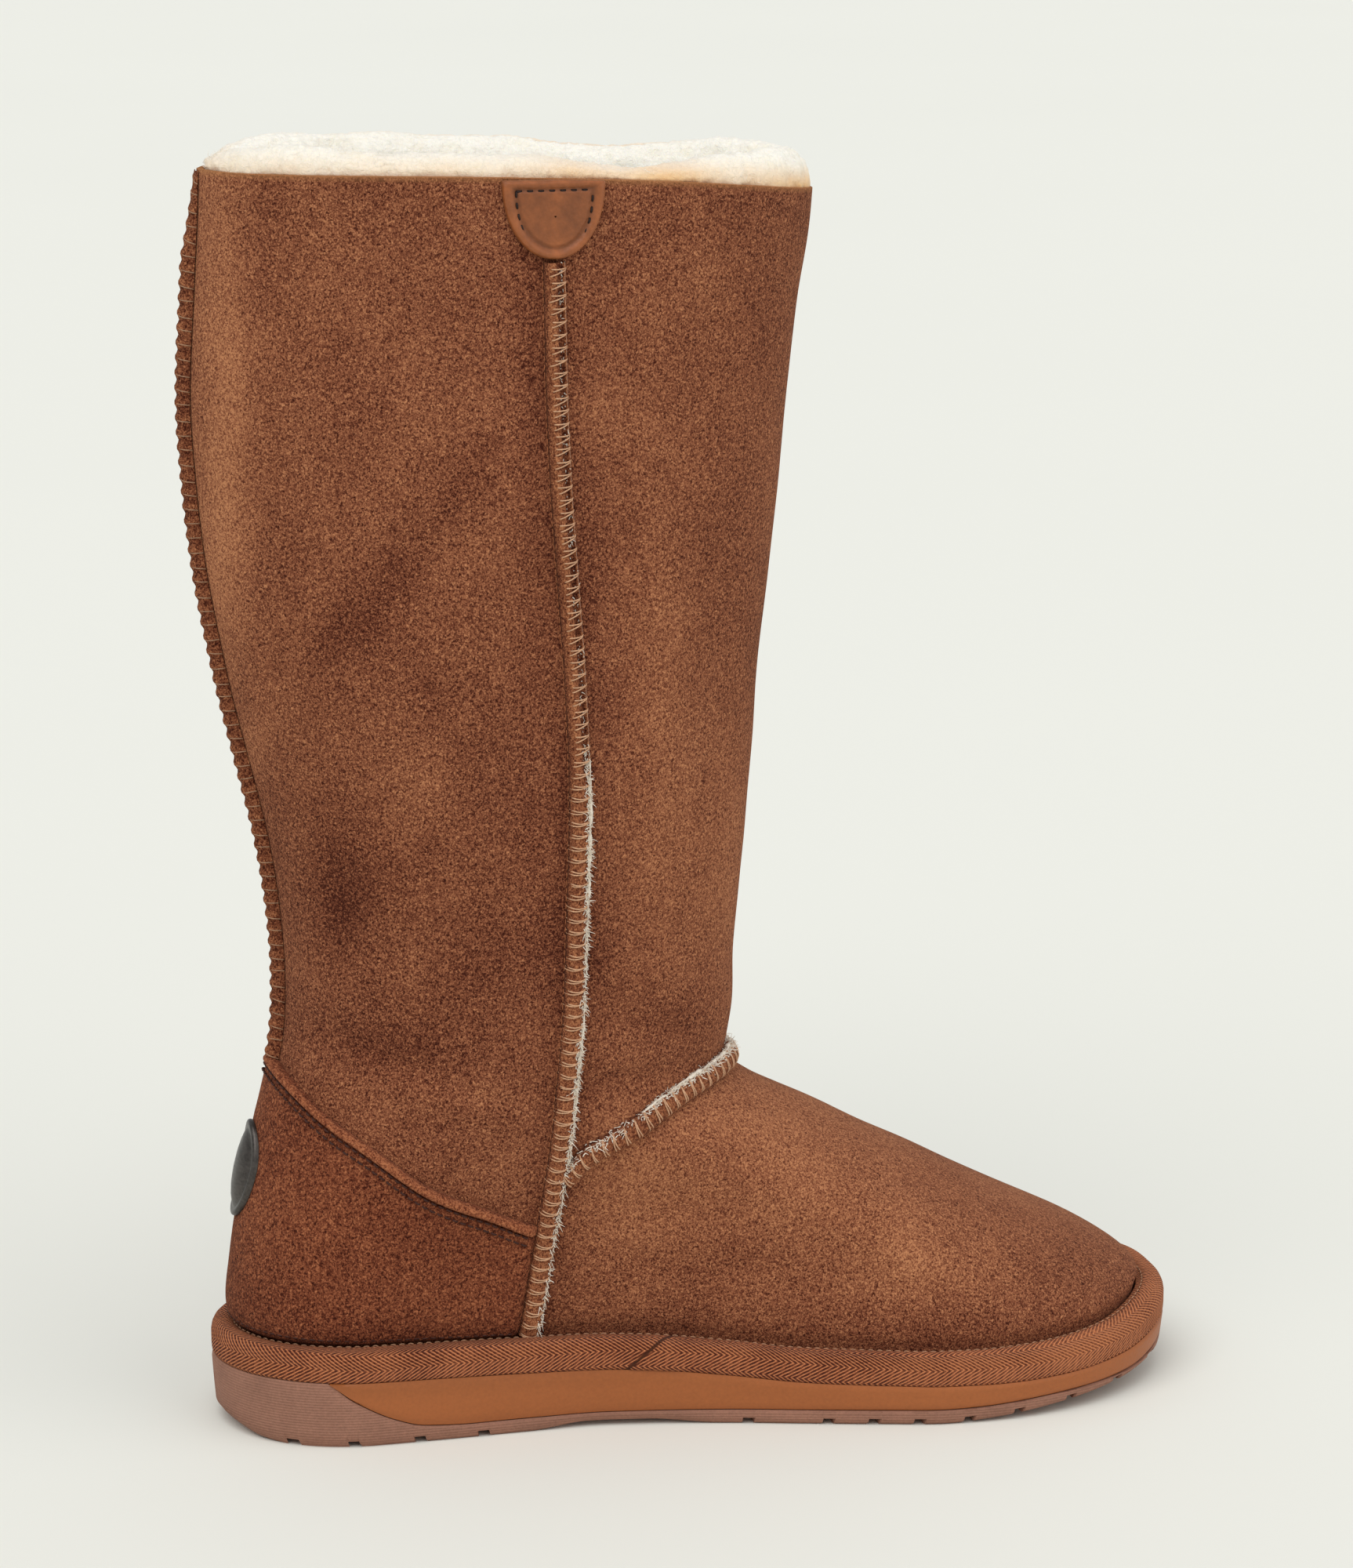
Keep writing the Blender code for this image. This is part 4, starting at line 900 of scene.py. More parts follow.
def suede(name, colour, grain_size):
    """Napped suede: curled strands with dark gaps between them, over brushed streaks and slow clouds."""
    finish = Finish(name, roughness=0.95, sheen_weight=0.08, sheen_roughness=0.5,
                    sheen_tint=(1.0, 0.62, 0.42, 1.0), specular_ior_level=0.06)
    clouds = finish.noise(0.030, 3.0, 0.55)
    brushed = finish.noise(0.008, 3.0, 0.6, finish.position((1.0, 1.0, 0.5), (0, 28, 0)))
    nap = finish.noise(grain_size, 1.0, 0.5, None, 1.0)
    strand = finish.noise(grain_size * 0.5, 2.0, 0.6, finish.position((1.0, 1.0, 0.6), (0, 40, 0)), 0.8)
    pits = finish.cells(grain_size * 0.9)
    tone = (0.5 + (clouds - 0.5) * 0.36 + (brushed - 0.5) * 0.14 + (nap - 0.5) * 1.40
            + (strand - 0.5) * 1.30 - (pits - 0.45) * 0.40 + finish.layer("tone"))
    colours = finish.colours(tone, [
        (0.06, nap_tone(colour, 0.20)), (0.32, nap_tone(colour, 0.62)), (0.50, colour),
        (0.70, nap_tone(colour, 1.45)), (0.95, nap_tone(colour, 2.20))])
    colours = finish.over(colours, SUEDE_EDGE, finish.layer("edge"))
    height = nap * 0.6 + strand * 0.6 - pits * 0.25
    return finish.done(colours, None, height, grain_size * 0.8)


def thread(name, colour):
    """Twisted sewing thread."""
    finish = Finish(name, roughness=0.6, specular_ior_level=0.3)
    fibre = finish.noise(0.0006, 2.0)
    return finish.done(finish.colours(fibre, [
        (0.3, shade_of(colour, 0.72)), (0.7, shade_of(colour, 1.15))]), None, fibre, 0.00008)


def wool(name, colour, golden=None):
    """Cream wool in soft crimped clumps, warmer where its golden layer says so."""
    finish = Finish(name, roughness=1.0, sheen_weight=0.30, sheen_roughness=0.6,
                    sheen_tint=(1.0, 0.97, 0.90, 1.0), specular_ior_level=0.04,
                    subsurface_weight=0.20, subsurface_scale=0.003, subsurface_radius=(1.0, 0.85, 0.65))
    clump = finish.noise(0.007, 3.0)
    curl = finish.noise(0.0013, 3.0, 0.7, None, 1.0)
    share = clump * 0.5 + curl * 0.5
    tint = finish.colours(share, [
        (0.25, (colour[0] * 0.97, colour[1] * 0.93, colour[2] * 0.84)), (0.50, colour),
        (0.75, shade_of(colour, 1.04))])
    if golden:
        tint = finish.over(tint, golden, finish.layer("golden"))
    return finish.done(tint, None, curl + clump, 0.0005)


def herringbone(name, colour, thread_width, splice):
    """Twill tape in herringbone, read along and across the tape, with a darker line at its splice."""
    finish = Finish(name, roughness=0.9, sheen_weight=0.05, sheen_roughness=0.4, specular_ior_level=0.1)
    apart = finish.node("ShaderNodeSeparateXYZ", None, {"Vector": finish.node("ShaderNodeUVMap")})
    along, across = apart, Field(finish, apart.socket.node.outputs[1])
    row = across / (thread_width * 8)
    zigzag = abs(row.fraction() - 0.5) * (thread_width * 8)
    twist = ((along + zigzag * 1.6) * (2 * math.pi / (thread_width * 1.45))).wave()
    cross = ((across - along * 0.25) * (2 * math.pi / thread_width)).wave()
    weave = twist * 0.8 + cross * 0.2
    worn = finish.noise(0.012, 3.0)
    fuzz = finish.noise(0.0006, 2.0)
    share = 0.5 + weave * 0.52 + (worn - 0.5) * 0.55 + (fuzz - 0.5) * 0.8 + finish.layer("tone")
    colours = finish.colours(share, [
        (0.06, nap_tone(colour, 0.22)), (0.50, colour), (0.94, nap_tone(colour, 1.75))])
    line = abs(along - splice - across * 1.1).ramp(0.0009, 0.0003)
    colours = finish.over(colours, shade_of(colour, 0.25), line)
    return finish.done(colours, None, weave * 0.6 + fuzz * 0.4, thread_width * 0.7)


def foam(name, colour):
    """Moulded midsole: faint flow marks and specks, and painted shade that darkens it towards its top, under
    the bound edge.
    """
    finish = Finish(name, roughness=0.55, specular_ior_level=0.3)
    flow = finish.noise(0.020, 3.0, 0.6, finish.position((0.25, 1.0, 1.6)))
    speck = finish.noise(0.0009, 2.0)
    # Painted shade: darker towards the top, under the bound edge
    share = 0.5 + (flow - 0.5) * 0.4 + (speck - 0.5) * 0.45 - finish.height().ramp(0.011, 0.019) * 0.22
    colours = finish.three_tones(share, colour, 0.80, 1.18)
    return finish.done(colours, 0.50 + (speck - 0.5) * 0.25, speck, 0.00006)


def tread_rubber(name, colour):
    """Matte moulded tread with soft clouds, specks and fine level lines."""
    finish = Finish(name, roughness=0.8, specular_ior_level=0.2)
    cloud = finish.noise(0.016, 4.0, 0.6)
    speck = finish.noise(0.0008, 2.0, 0.7)
    lines = (finish.height() * (2 * math.pi / 0.0008)).wave()
    share = 0.5 + (cloud - 0.5) * 0.8 + (speck - 0.5) * 0.7 + lines * 0.10
    colours = finish.three_tones(share, colour, 0.78, 1.25)
    return finish.done(colours, None, speck + lines * 0.3, 0.00015)


def smooth_leather(name, colour):
    """Tab leather: fine pebble grain, satin, paler in random rubbed clouds, with the painted light and shade
    of its mesh's tone.
    """
    finish = Finish(name, roughness=0.42, specular_ior_level=0.4)
    pebble = finish.cells(0.0009)
    cloud = finish.noise(0.006, 3.0)
    crack = finish.noise(0.0022, 4.0, 0.6)
    share = 0.5 + (cloud - 0.5) * 0.7 + (crack - 0.5) * 0.7 + finish.layer("tone")
    colours = finish.three_tones(share, colour, 0.70, 1.40)
    return finish.done(colours, 0.38 + cloud * 0.2, pebble * 0.7 + crack * 0.3, 0.00015)


def pewter(name, colour):
    """Dark brushed metal with dull spots."""
    finish = Finish(name, metallic=0.9, roughness=0.35)
    brushed = finish.noise(0.0007, 3.0, 0.6, finish.position((1.0, 0.15, 1.0)))
    dull = finish.noise(0.004, 3.0)
    colours = finish.colours(brushed * 0.5 + dull * 0.5, [
        (0.3, shade_of(colour, 0.6)), (0.7, shade_of(colour, 1.9))])
    return finish.done(colours, 0.22 + dull * 0.3, brushed, 0.00004)


# Sizes and colours that a user would change

def length_property(name, description, default, low, high):
    return FloatProperty(
        name=name, description=description, default=default, min=low, max=high, unit="LENGTH")


def colour_property(name, description, default):
    return FloatVectorProperty(name=name, description=description, default=default, subtype="COLOR")


class BootSizes(bpy.types.PropertyGroup):
    """Fine sizes of the boot's finish, in metres."""
    grain: length_property("Suede grain", "Width of the suede's speckles", 0.00068, 0.0003, 0.004)
    stitch: length_property(
        "Seam stitch", "Distance between the threads over the raised seams", 0.0034, 0.002, 0.008)
    thread: length_property("Thread", "Thickness of the sewing thread", 0.00040, 0.0002, 0.001)
    twill: length_property(
        "Twill thread", "Width of a thread of the bound edge's tape", 0.0011, 0.0004, 0.003)
    wool: length_property("Wool hairs", "Length of the fine hairs at the collar", 0.0022, 0.0005, 0.01)
    hairs: IntProperty(
        name="Hairs", description="Number of fine hairs at the collar", default=7000, min=100, max=9000)
    tufts: IntProperty(
        name="Fleece fineness", description="Steps round the collar in the fleece's face", default=960,
        min=200, max=1040)


class BootColours(bpy.types.PropertyGroup):
    """Colours of the boot's finishes."""
    suede: colour_property("Suede", "Shaft and vamp", (0.245, 0.083, 0.040))
    counter: colour_property("Counter", "Suede of the heel counter", (0.205, 0.059, 0.027))
    seam: colour_property("Seam", "Suede edge in the raised seams", (0.225, 0.074, 0.034))
    thread: colour_property("Seam thread", "Thread over the raised seams", (0.58, 0.33, 0.19))
    rear_thread: colour_property("Rear thread", "Thread beside the raised seams", (0.36, 0.12, 0.045))
    stitching: colour_property("Stitching", "Thread of the counter", (0.050, 0.014, 0.008))
    edge_thread: colour_property("Edge thread", "Thread of the bound edge", (0.44, 0.23, 0.13))
    # Near-black: the tab's stitches stand in for painted shade inside their holes
    holes: colour_property("Tab's holes", "Dark stitches of the collar tab", (0.022, 0.009, 0.006))
    tab: colour_property("Tab", "Smooth leather tab at the collar", (0.252, 0.075, 0.020))
    twill: colour_property("Twill", "Tape of the bound edge", (0.415, 0.128, 0.055))
    midsole: colour_property("Midsole", "Midsole wedge", (0.345, 0.106, 0.029))
    tread: colour_property("Tread", "Tread rubber", (0.295, 0.145, 0.098))
    wool: colour_property("Wool", "Fleece and lining", (0.965, 0.925, 0.83))
    golden: colour_property("Golden wool", "Fleece beside the collar's cut edge", (0.86, 0.54, 0.26))
    seam_wool: colour_property("Seam wool", "Wool that works through the seams", (0.86, 0.77, 0.64))
    lace: colour_property("Lace", "Suede cord of the bow", (0.185, 0.062, 0.028))
    badge: colour_property("Badge", "Bare heel plate", (0.060, 0.053, 0.048))
    floor: colour_property("Floor", "Studio floor", (0.86, 0.865, 0.80))


def sizes():
    return bpy.context.scene.boot_sizes


def colour(name):
    return tuple(getattr(bpy.context.scene.boot_colours, name))


# Camera and lace

def boot_place(x, y, z):
    return START + Vector((x, y, z))


def route(stops):
    return even_points(np.array(stops) * MM, pitch=0.002) + np.array(START)


def lace_suede():
    finish = Finish("lace_suede", roughness=0.9, sheen_weight=0.2, sheen_roughness=0.4,
                    specular_ior_level=0.12)
    nap = finish.noise(0.0009, 3.0, 0.65)
    worn = finish.noise(0.007, 2.0)
    share = 0.5 + (nap - 0.5) * 0.8 + (worn - 0.5) * 0.5
    return finish.done(finish.three_tones(share, colour("lace"), 0.55, 1.7), None, nap, 0.0004)


def lay_cord(name, stops, node, material):
    """A free cord of the bow along its route, returned with its length."""
    points = route(stops)
    length = float(np.linalg.norm(np.diff(points, axis=0), axis=1).sum())
    wobble = 1 + 0.05 * noise_at(points, 0.006, 5.0)
    mesh = tubes_mesh(name, [points], [LACE_DIAMETER / 2 * wobble], sides=14)
    return lay(mesh, material, "lace", node, smooth_angle=50), points, length


class BOOT_OT_camera(bpy.types.Operator):
    """Stand the camera at the photograph's angle"""
    bl_idname = "boot.camera"
    bl_label = "Camera"

    def execute(self, context):
        data = bpy.data.cameras.new("photo_camera")
        data.sensor_width = 36.0
        data.lens = CAMERA_LENS
        data.clip_end = 100.0
        camera = bpy.data.objects.new("photo_camera", data)
        context.scene.collection.objects.link(camera)
        camera.location = boot_place(*CAMERA_PLACE)
        turn, fall = math.radians(CAMERA_TURN), math.radians(CAMERA_FALL)
        ahead = Vector((math.sin(turn) * math.cos(fall), math.cos(turn) * math.cos(fall), -math.sin(fall)))
        camera.rotation_mode = "QUATERNION"
        camera.rotation_quaternion = ahead.to_track_quat("-Z", "Y")
        context.scene.camera = camera
        return {"FINISHED"}


class BOOT_OT_bow(bpy.types.Operator):
    """Lay the loops and ends of the lace bow, tie its knot and run the lace through its holes"""
    bl_idname = "boot.bow"
    bl_label = "Lace bow"

    def execute(self, context):
        material = lace_suede()
        knot = self.tie_knot(material)
        for name, stops, node, far_end in (
                ("bow_loop_front", LOOP_FRONT, "lace_loop_front", "object"),
                ("bow_loop_rear", LOOP_REAR, "lace_loop_rear", "object"),
                ("bow_end_front", END_FRONT, "lace_end_front", "bare"),
                ("bow_end_rear", END_REAR, "lace_end_rear", "bare")):
            thing, points, length = lay_cord(name, stops, node, material)
            tuple(points[0])
            [tuple(p) for p in points]
        self.run_lace(material)
        return {"FINISHED"}

    def tie_knot(self, material):
        """Two wraps round the middle of the bow, over a small core."""
        centre = np.array(START) + np.array(KNOT_PLACE) * MM
        turn = np.linspace(0, 2 * math.pi, 25)
        paths, radii = [], []
        for shift, lean, tall, deep in ((-1.6, 0.25, 4.6, 2.4), (1.7, -0.2, 4.4, 2.3)):
            ring = np.stack([
                shift + lean * 4 * np.cos(turn), deep * np.sin(turn), tall * np.cos(turn)], axis=1)
            paths.append(centre + ring * MM)
            radii.append(np.full(len(turn), 1.75 * MM))
        core = np.stack([np.linspace(-5.2, 5.2, 9), np.full(9, -0.6), np.linspace(0.8, -0.8, 9)], axis=1)
        paths.append(centre + core * MM)
        radii.append(np.array([1.4, 2.4, 2.9, 3.1, 3.1, 3.1, 2.9, 2.4, 1.4]) * MM)
        mesh = tubes_mesh("bow_knot", paths, radii, sides=16)
        return lay(mesh, material, "lace", "lace_knot", smooth_angle=50)

    def run_lace(self, material):
        """Lace over and under the wall, in at each hole and out at the next."""
        over, under = GAP + LACE_DIAMETER / 2, -(WALL + LACE_DIAMETER * 0.75)
        top_rear, top_front, low_rear, low_front, end_rear, end_front = eyelet_places()
        middle = mix(low_rear[1], end_rear[1], 0.5)

        def stops(rows):
            return np.array([SKIN.side(x, z, False, proud)[0] for x, z, proud in rows])

        def strand(end, low, top, side, hump):
            """Half of the lace, from the bar up to the knot; a hump carries it over the other half."""
            return stops([
                (SLIT_PLACE, end[1], under), (end[0] + side * 0.003, end[1], under), (*end, -WALL / 2),
                (end[0] + side * 0.0012, end[1] + 0.001, over),
                (mix(end[0], SLIT_PLACE, 0.5), mix(end[1], middle, 0.5), over + hump / 2),
                (SLIT_PLACE, middle, over + hump * 1.5),
                (mix(low[0], SLIT_PLACE, 0.5), mix(low[1], middle, 0.5), over + hump / 2),
                (low[0] - side * 0.0012, low[1] - 0.001, over), (*low, -WALL / 2),
                (low[0], low[1] + 0.004, under), (top[0], top[1] - 0.004, under),
                (*top, -WALL / 2), (top[0] - side * 0.0015, top[1], over),
                (mix(top[0], SLIT_PLACE, 0.6), top[1], over + 0.0004)])

        paths = [even_points(strand(end_rear, low_front, top_front, 1, 0.0), pitch=0.0012),
                 even_points(strand(end_front, low_rear, top_rear, -1, 0.0026), pitch=0.0012)]
        radius = LACE_DIAMETER * 0.46
        mesh = tubes_mesh("lace_run", paths, radius, sides=12)
        lay(mesh, material, "lace", "lace_crossings", "lace_bar", smooth_angle=50)


# Upper

class BOOT_OT_upper(bpy.types.Operator):
    """Make the creased suede shaft and vamp, with its cut collar, slit and punched holes"""
    bl_idname = "boot.upper"
    bl_label = "Suede upper"

    def execute(self, context):
        inner_rows = np.linspace(ROWS - 1, 0, 46)
        columns = np.arange(COLUMNS, dtype=float)
        outer = SKIN.points
        rim = [SKIN.at(ROWS - 1, columns, -WALL * share)[0] + np.array((0, 0, lift))
               for share, lift in ((0.25, 0.00025), (0.75, 0.00025))]
        inner = [SKIN.at(row, columns, -WALL)[0] for row in inner_rows]
        points = np.concatenate([outer, np.array(rim), np.array(inner)])
        faces = grid_faces(len(points), COLUMNS, close_rows=True, close_columns=True)
        mesh = mesh_from("upper_suede", points, faces)
        side = np.where(columns * 2 < COLUMNS, INNER, OUTER)[None, :]
        tone = np.zeros(points.shape[:2])
        # The suede's own uneven tone, with painted light and shade added to it
        tone[:ROWS] = tones(outer, side) + self.painted_light_and_shade(outer)
        paint(mesh, "tone", tone)
        edge = np.zeros(points.shape[:2])
        edge[ROWS:] = 1.0
        edge[ROWS - 1] = 0.5
        paint(mesh, "edge", edge)
        material = suede("boot_suede", colour("suede"), sizes().grain)
        thing = add_object(mesh, material)
        self.cut_openings(thing)
        thing.data.set_sharp_from_angle(angle=math.radians(60))
        dress(thing, "suede", "upper")
        return {"FINISHED"}

    def painted_light_and_shade(self, points):
        """Painted shade beside the seams and above the bound edge, painted light over the vamp and up the
        back, and on the calf painted shade behind the side seam and painted light in front of it.
        """
        x = (points[..., 0] - START.x)
        z = points[..., 2]
        seam = np.interp(z, np.linspace(0, 0.36, 60), [seam_place(h) for h in np.linspace(0, 0.36, 60)])
        beside = np.exp(-((x - seam) / 0.0075) ** 2) * -0.14
        low = np.exp(-np.maximum(z - 0.026, 0) / 0.006) * -0.12
        foot = smooth_step(0.0, 0.012, x - seam) * smooth_step(0.104, 0.088, z)
        foot *= 0.09 + 0.05 * smooth_step(0.06, 0.09, z)
        behind = smooth_step(0.008, -0.006, x - 0.010) * smooth_step(0.10, 0.14, z) * 0.11
        calf = smooth_step(0.095, 0.125, z) * smooth_step(0.215, 0.170, z)
        calf *= np.where(x < seam, -0.055, 0.060)
        return beside + low + foot + behind + calf

    def cut_openings(self, thing):
        """Takes the slit and the punched holes out of the wall."""
        top = COLLAR_HEIGHT + FLEECE_PROUD * 3
        bottom = collar_height(SLIT_PLACE) - SLIT_DEPTH
        wide, narrow = SLIT_WIDTH_TOP / 2, SLIT_WIDTH_BOTTOM / 2
        outline = [(SLIT_PLACE + wide, top), (SLIT_PLACE - wide, top)]
        outline.append((SLIT_PLACE - narrow, bottom + narrow))
        for k in range(1, 8):
            turn = math.pi * k / 8
            outline.append((SLIT_PLACE - narrow * math.cos(turn), bottom + narrow * (1 - math.sin(turn))))
        outline.append((SLIT_PLACE + narrow, bottom + narrow))
        outlines = [outline]
        for x, z in eyelet_places():
            outlines.append([(x + EYELET_DIAMETER / 2 * math.cos(2 * math.pi * k / 20),
                              z + EYELET_DIAMETER / 2 * math.sin(2 * math.pi * k / 20)) for k in range(20)])
        points, faces = [], []
        for outline in outlines:
            first, count = len(points), len(outline)
            for y in (SHAFT_WIDTH * 0.35, SHAFT_WIDTH * 0.75):
                points += [boot_place(x, y, z) for x, z in outline]
            faces.append([first + k for k in range(count)])
            faces.append([first + count + k for k in reversed(range(count))])
            for k in range(count):
                on = (k + 1) % count
                faces.append([first + on, first + k, first + count + k, first + count + on])
        cutter_mesh = bpy.data.meshes.new("opening_cutter")
        cutter_mesh.from_pydata([tuple(p) for p in points], [], faces)
        paint(cutter_mesh, "edge", np.ones(len(points)))
        paint(cutter_mesh, "tone", np.zeros(len(points)))
        cutter = bpy.data.objects.new("opening_cutter", cutter_mesh)
        bpy.context.scene.collection.objects.link(cutter)
        cut = thing.modifiers.new("openings", "BOOLEAN")
        cut.operation = "DIFFERENCE"
        cut.object = cutter
        bpy.context.view_layer.update()
        evaluated = thing.evaluated_get(bpy.context.evaluated_depsgraph_get())
        mesh = bpy.data.meshes.new_from_object(evaluated)
        thing.modifiers.clear()
        thing.data = mesh
        bpy.data.objects.remove(cutter, do_unlink=True)


def seam_columns(inner, shift):
    """Table of heights and of the columns at which the side seam, moved by a shift, passes over them."""
    heights = np.linspace(0.02, 0.12, 30)
    return heights, [SKIN.column_at(seam_place(height) + shift, height, inner) for height in heights]


class BOOT_OT_counter(bpy.types.Operator):
    """Lay the suede counter round the heel, with its folded top edge and its stitching"""
    bl_idname = "boot.counter"
    bl_label = "Heel counter"

    def execute(self, context):
        self.limits = {inner: seam_columns(inner, -SEAM_WIDTH / 2) for inner in (True, False)}
        lift = COUNTER_THICKNESS
        strip = COUNTER_STRIP
        profile = [(0.0, strip, 0.0), (0.0, strip, 0.7)]
        profile += [(t, strip, 1.0) for t in np.linspace(0.02, 0.99, 66)]
        profile += [(1.0, strip * share, up) for share, up in (
            (1.0, 0.80), (0.95, 0.86), (0.86, 1.42), (0.70, 1.60), (0.45, 1.62), (0.22, 1.45),
            (0.08, 1.05), (0.0, 0.55), (0.0, 0.0))]
        shares = np.linspace(-1, 1, 160)
        grid = np.zeros((len(profile), len(shares), 3))
        for j, share in enumerate(shares):
            edge = math.sqrt(max(0.0, 1 - max(0.0, (abs(share) - 0.985) / 0.015) ** 2))
            for i, (t, drop, up) in enumerate(profile):
                row, column = self.seat(share, t, drop)
                grid[i, j] = SKIN.at(row, column, GAP / 2 + lift * up * (0.3 + 0.7 * edge))[0]
        waves = noise_at(grid, 0.016, 7.0) * 0.00022
        grid += grid_normals(grid) * waves[..., None]
        mesh = mesh_from("heel_counter_suede", grid, grid_faces(*grid.shape[:2]))
        tone = self.shades(grid)
        # Painted highlight along the top of the folded edge, and painted shadow just under it
        tone[-7:-2] += 0.20
        tone[-10:-7] -= 0.14
        paint(mesh, "tone", tone)
        paint(mesh, "edge", np.zeros(grid.shape[:2]))
        material = suede("counter_suede", colour("counter"), sizes().grain * 1.15)
        lay(mesh, material, "counter_suede", "heel_counter")
        self.stitch(lift)
        return {"FINISHED"}

    def seat(self, share, t, drop=0.0):
        """Row and column of the skin at a share from seam to seam, and from the binding to the top edge
        or to a drop below it."""
        heights, limits = self.limits[share > 0]
        height = 0.06
        for _ in range(4):
            column = abs(share) * abs(np.interp(height, heights, limits)) * (1 if share > 0 else -1)
            row = SKIN.row_at(column, height)
            x = SKIN.read(SKIN.points, np.array(row), np.array(column))[0] - START.x
            height = mix(binding_top(x) + GAP, counter_height(x) - drop, t)
        return SKIN.row_at(column, height), column

    def shades(self, grid):
        # Painted shade just above the bound edge, with random tone over the whole counter
        low = np.exp(-np.maximum(grid[..., 2] - 0.029, 0) / 0.006) * -0.16
        return low + noise_at(grid, 0.03, 9.0) * 0.06

    def stitch(self, lift):
        """Rows of short stitches, each dipping into its two holes."""
        length, pitch = 0.0016, 0.0024
        paths = []
        for drop in (COUNTER_STRIP + 0.0004, COUNTER_STRIP + 0.0028):
            line = np.array([SKIN.at(*self.seat(share, 1.0, drop), lift * 1.34)[0]
                             for share in np.linspace(-0.985, 0.985, 220)])
            paths += stitches_along(line, pitch, length, sizes().thread * 0.8)
        low = np.array([self.low_point(share, lift) for share in np.linspace(-0.99, 0.99, 220)])
        paths += stitches_along(low, pitch, length, sizes().thread)
        material = thread("counter_thread", colour("stitching"))
        mesh = tubes_mesh("counter_stitching", paths, sizes().thread * 0.72, sides=5)
        lay(mesh, material, "counter_suede")

    def low_point(self, share, lift):
        return SKIN.at(*self.seat(share, 0.03), lift * 1.02)[0]


def stitches_along(line, pitch, length, dip):
    """Short arched threads at even steps along a line, which go down at both of their ends."""
    total = np.linalg.norm(np.diff(line, axis=0), axis=1).sum()
    count = int(total / pitch)
    fine = even_points(line, count=count * 6 + 1)
    share = length / pitch
    paths = []
    for k in range(count):
        part = fine[k * 6:k * 6 + 1 + max(2, int(6 * share + 0.5))].copy()
        away = unit(part.mean(axis=0) - (START.x + SHAFT_MIDDLE, START.y, part[:, 2].mean()))
        arch = np.sin(np.linspace(0, math.pi, len(part)))
        part += away * ((arch - 0.7) * dip)[:, None]
        paths.append(part)
    return paths


# Raised seams

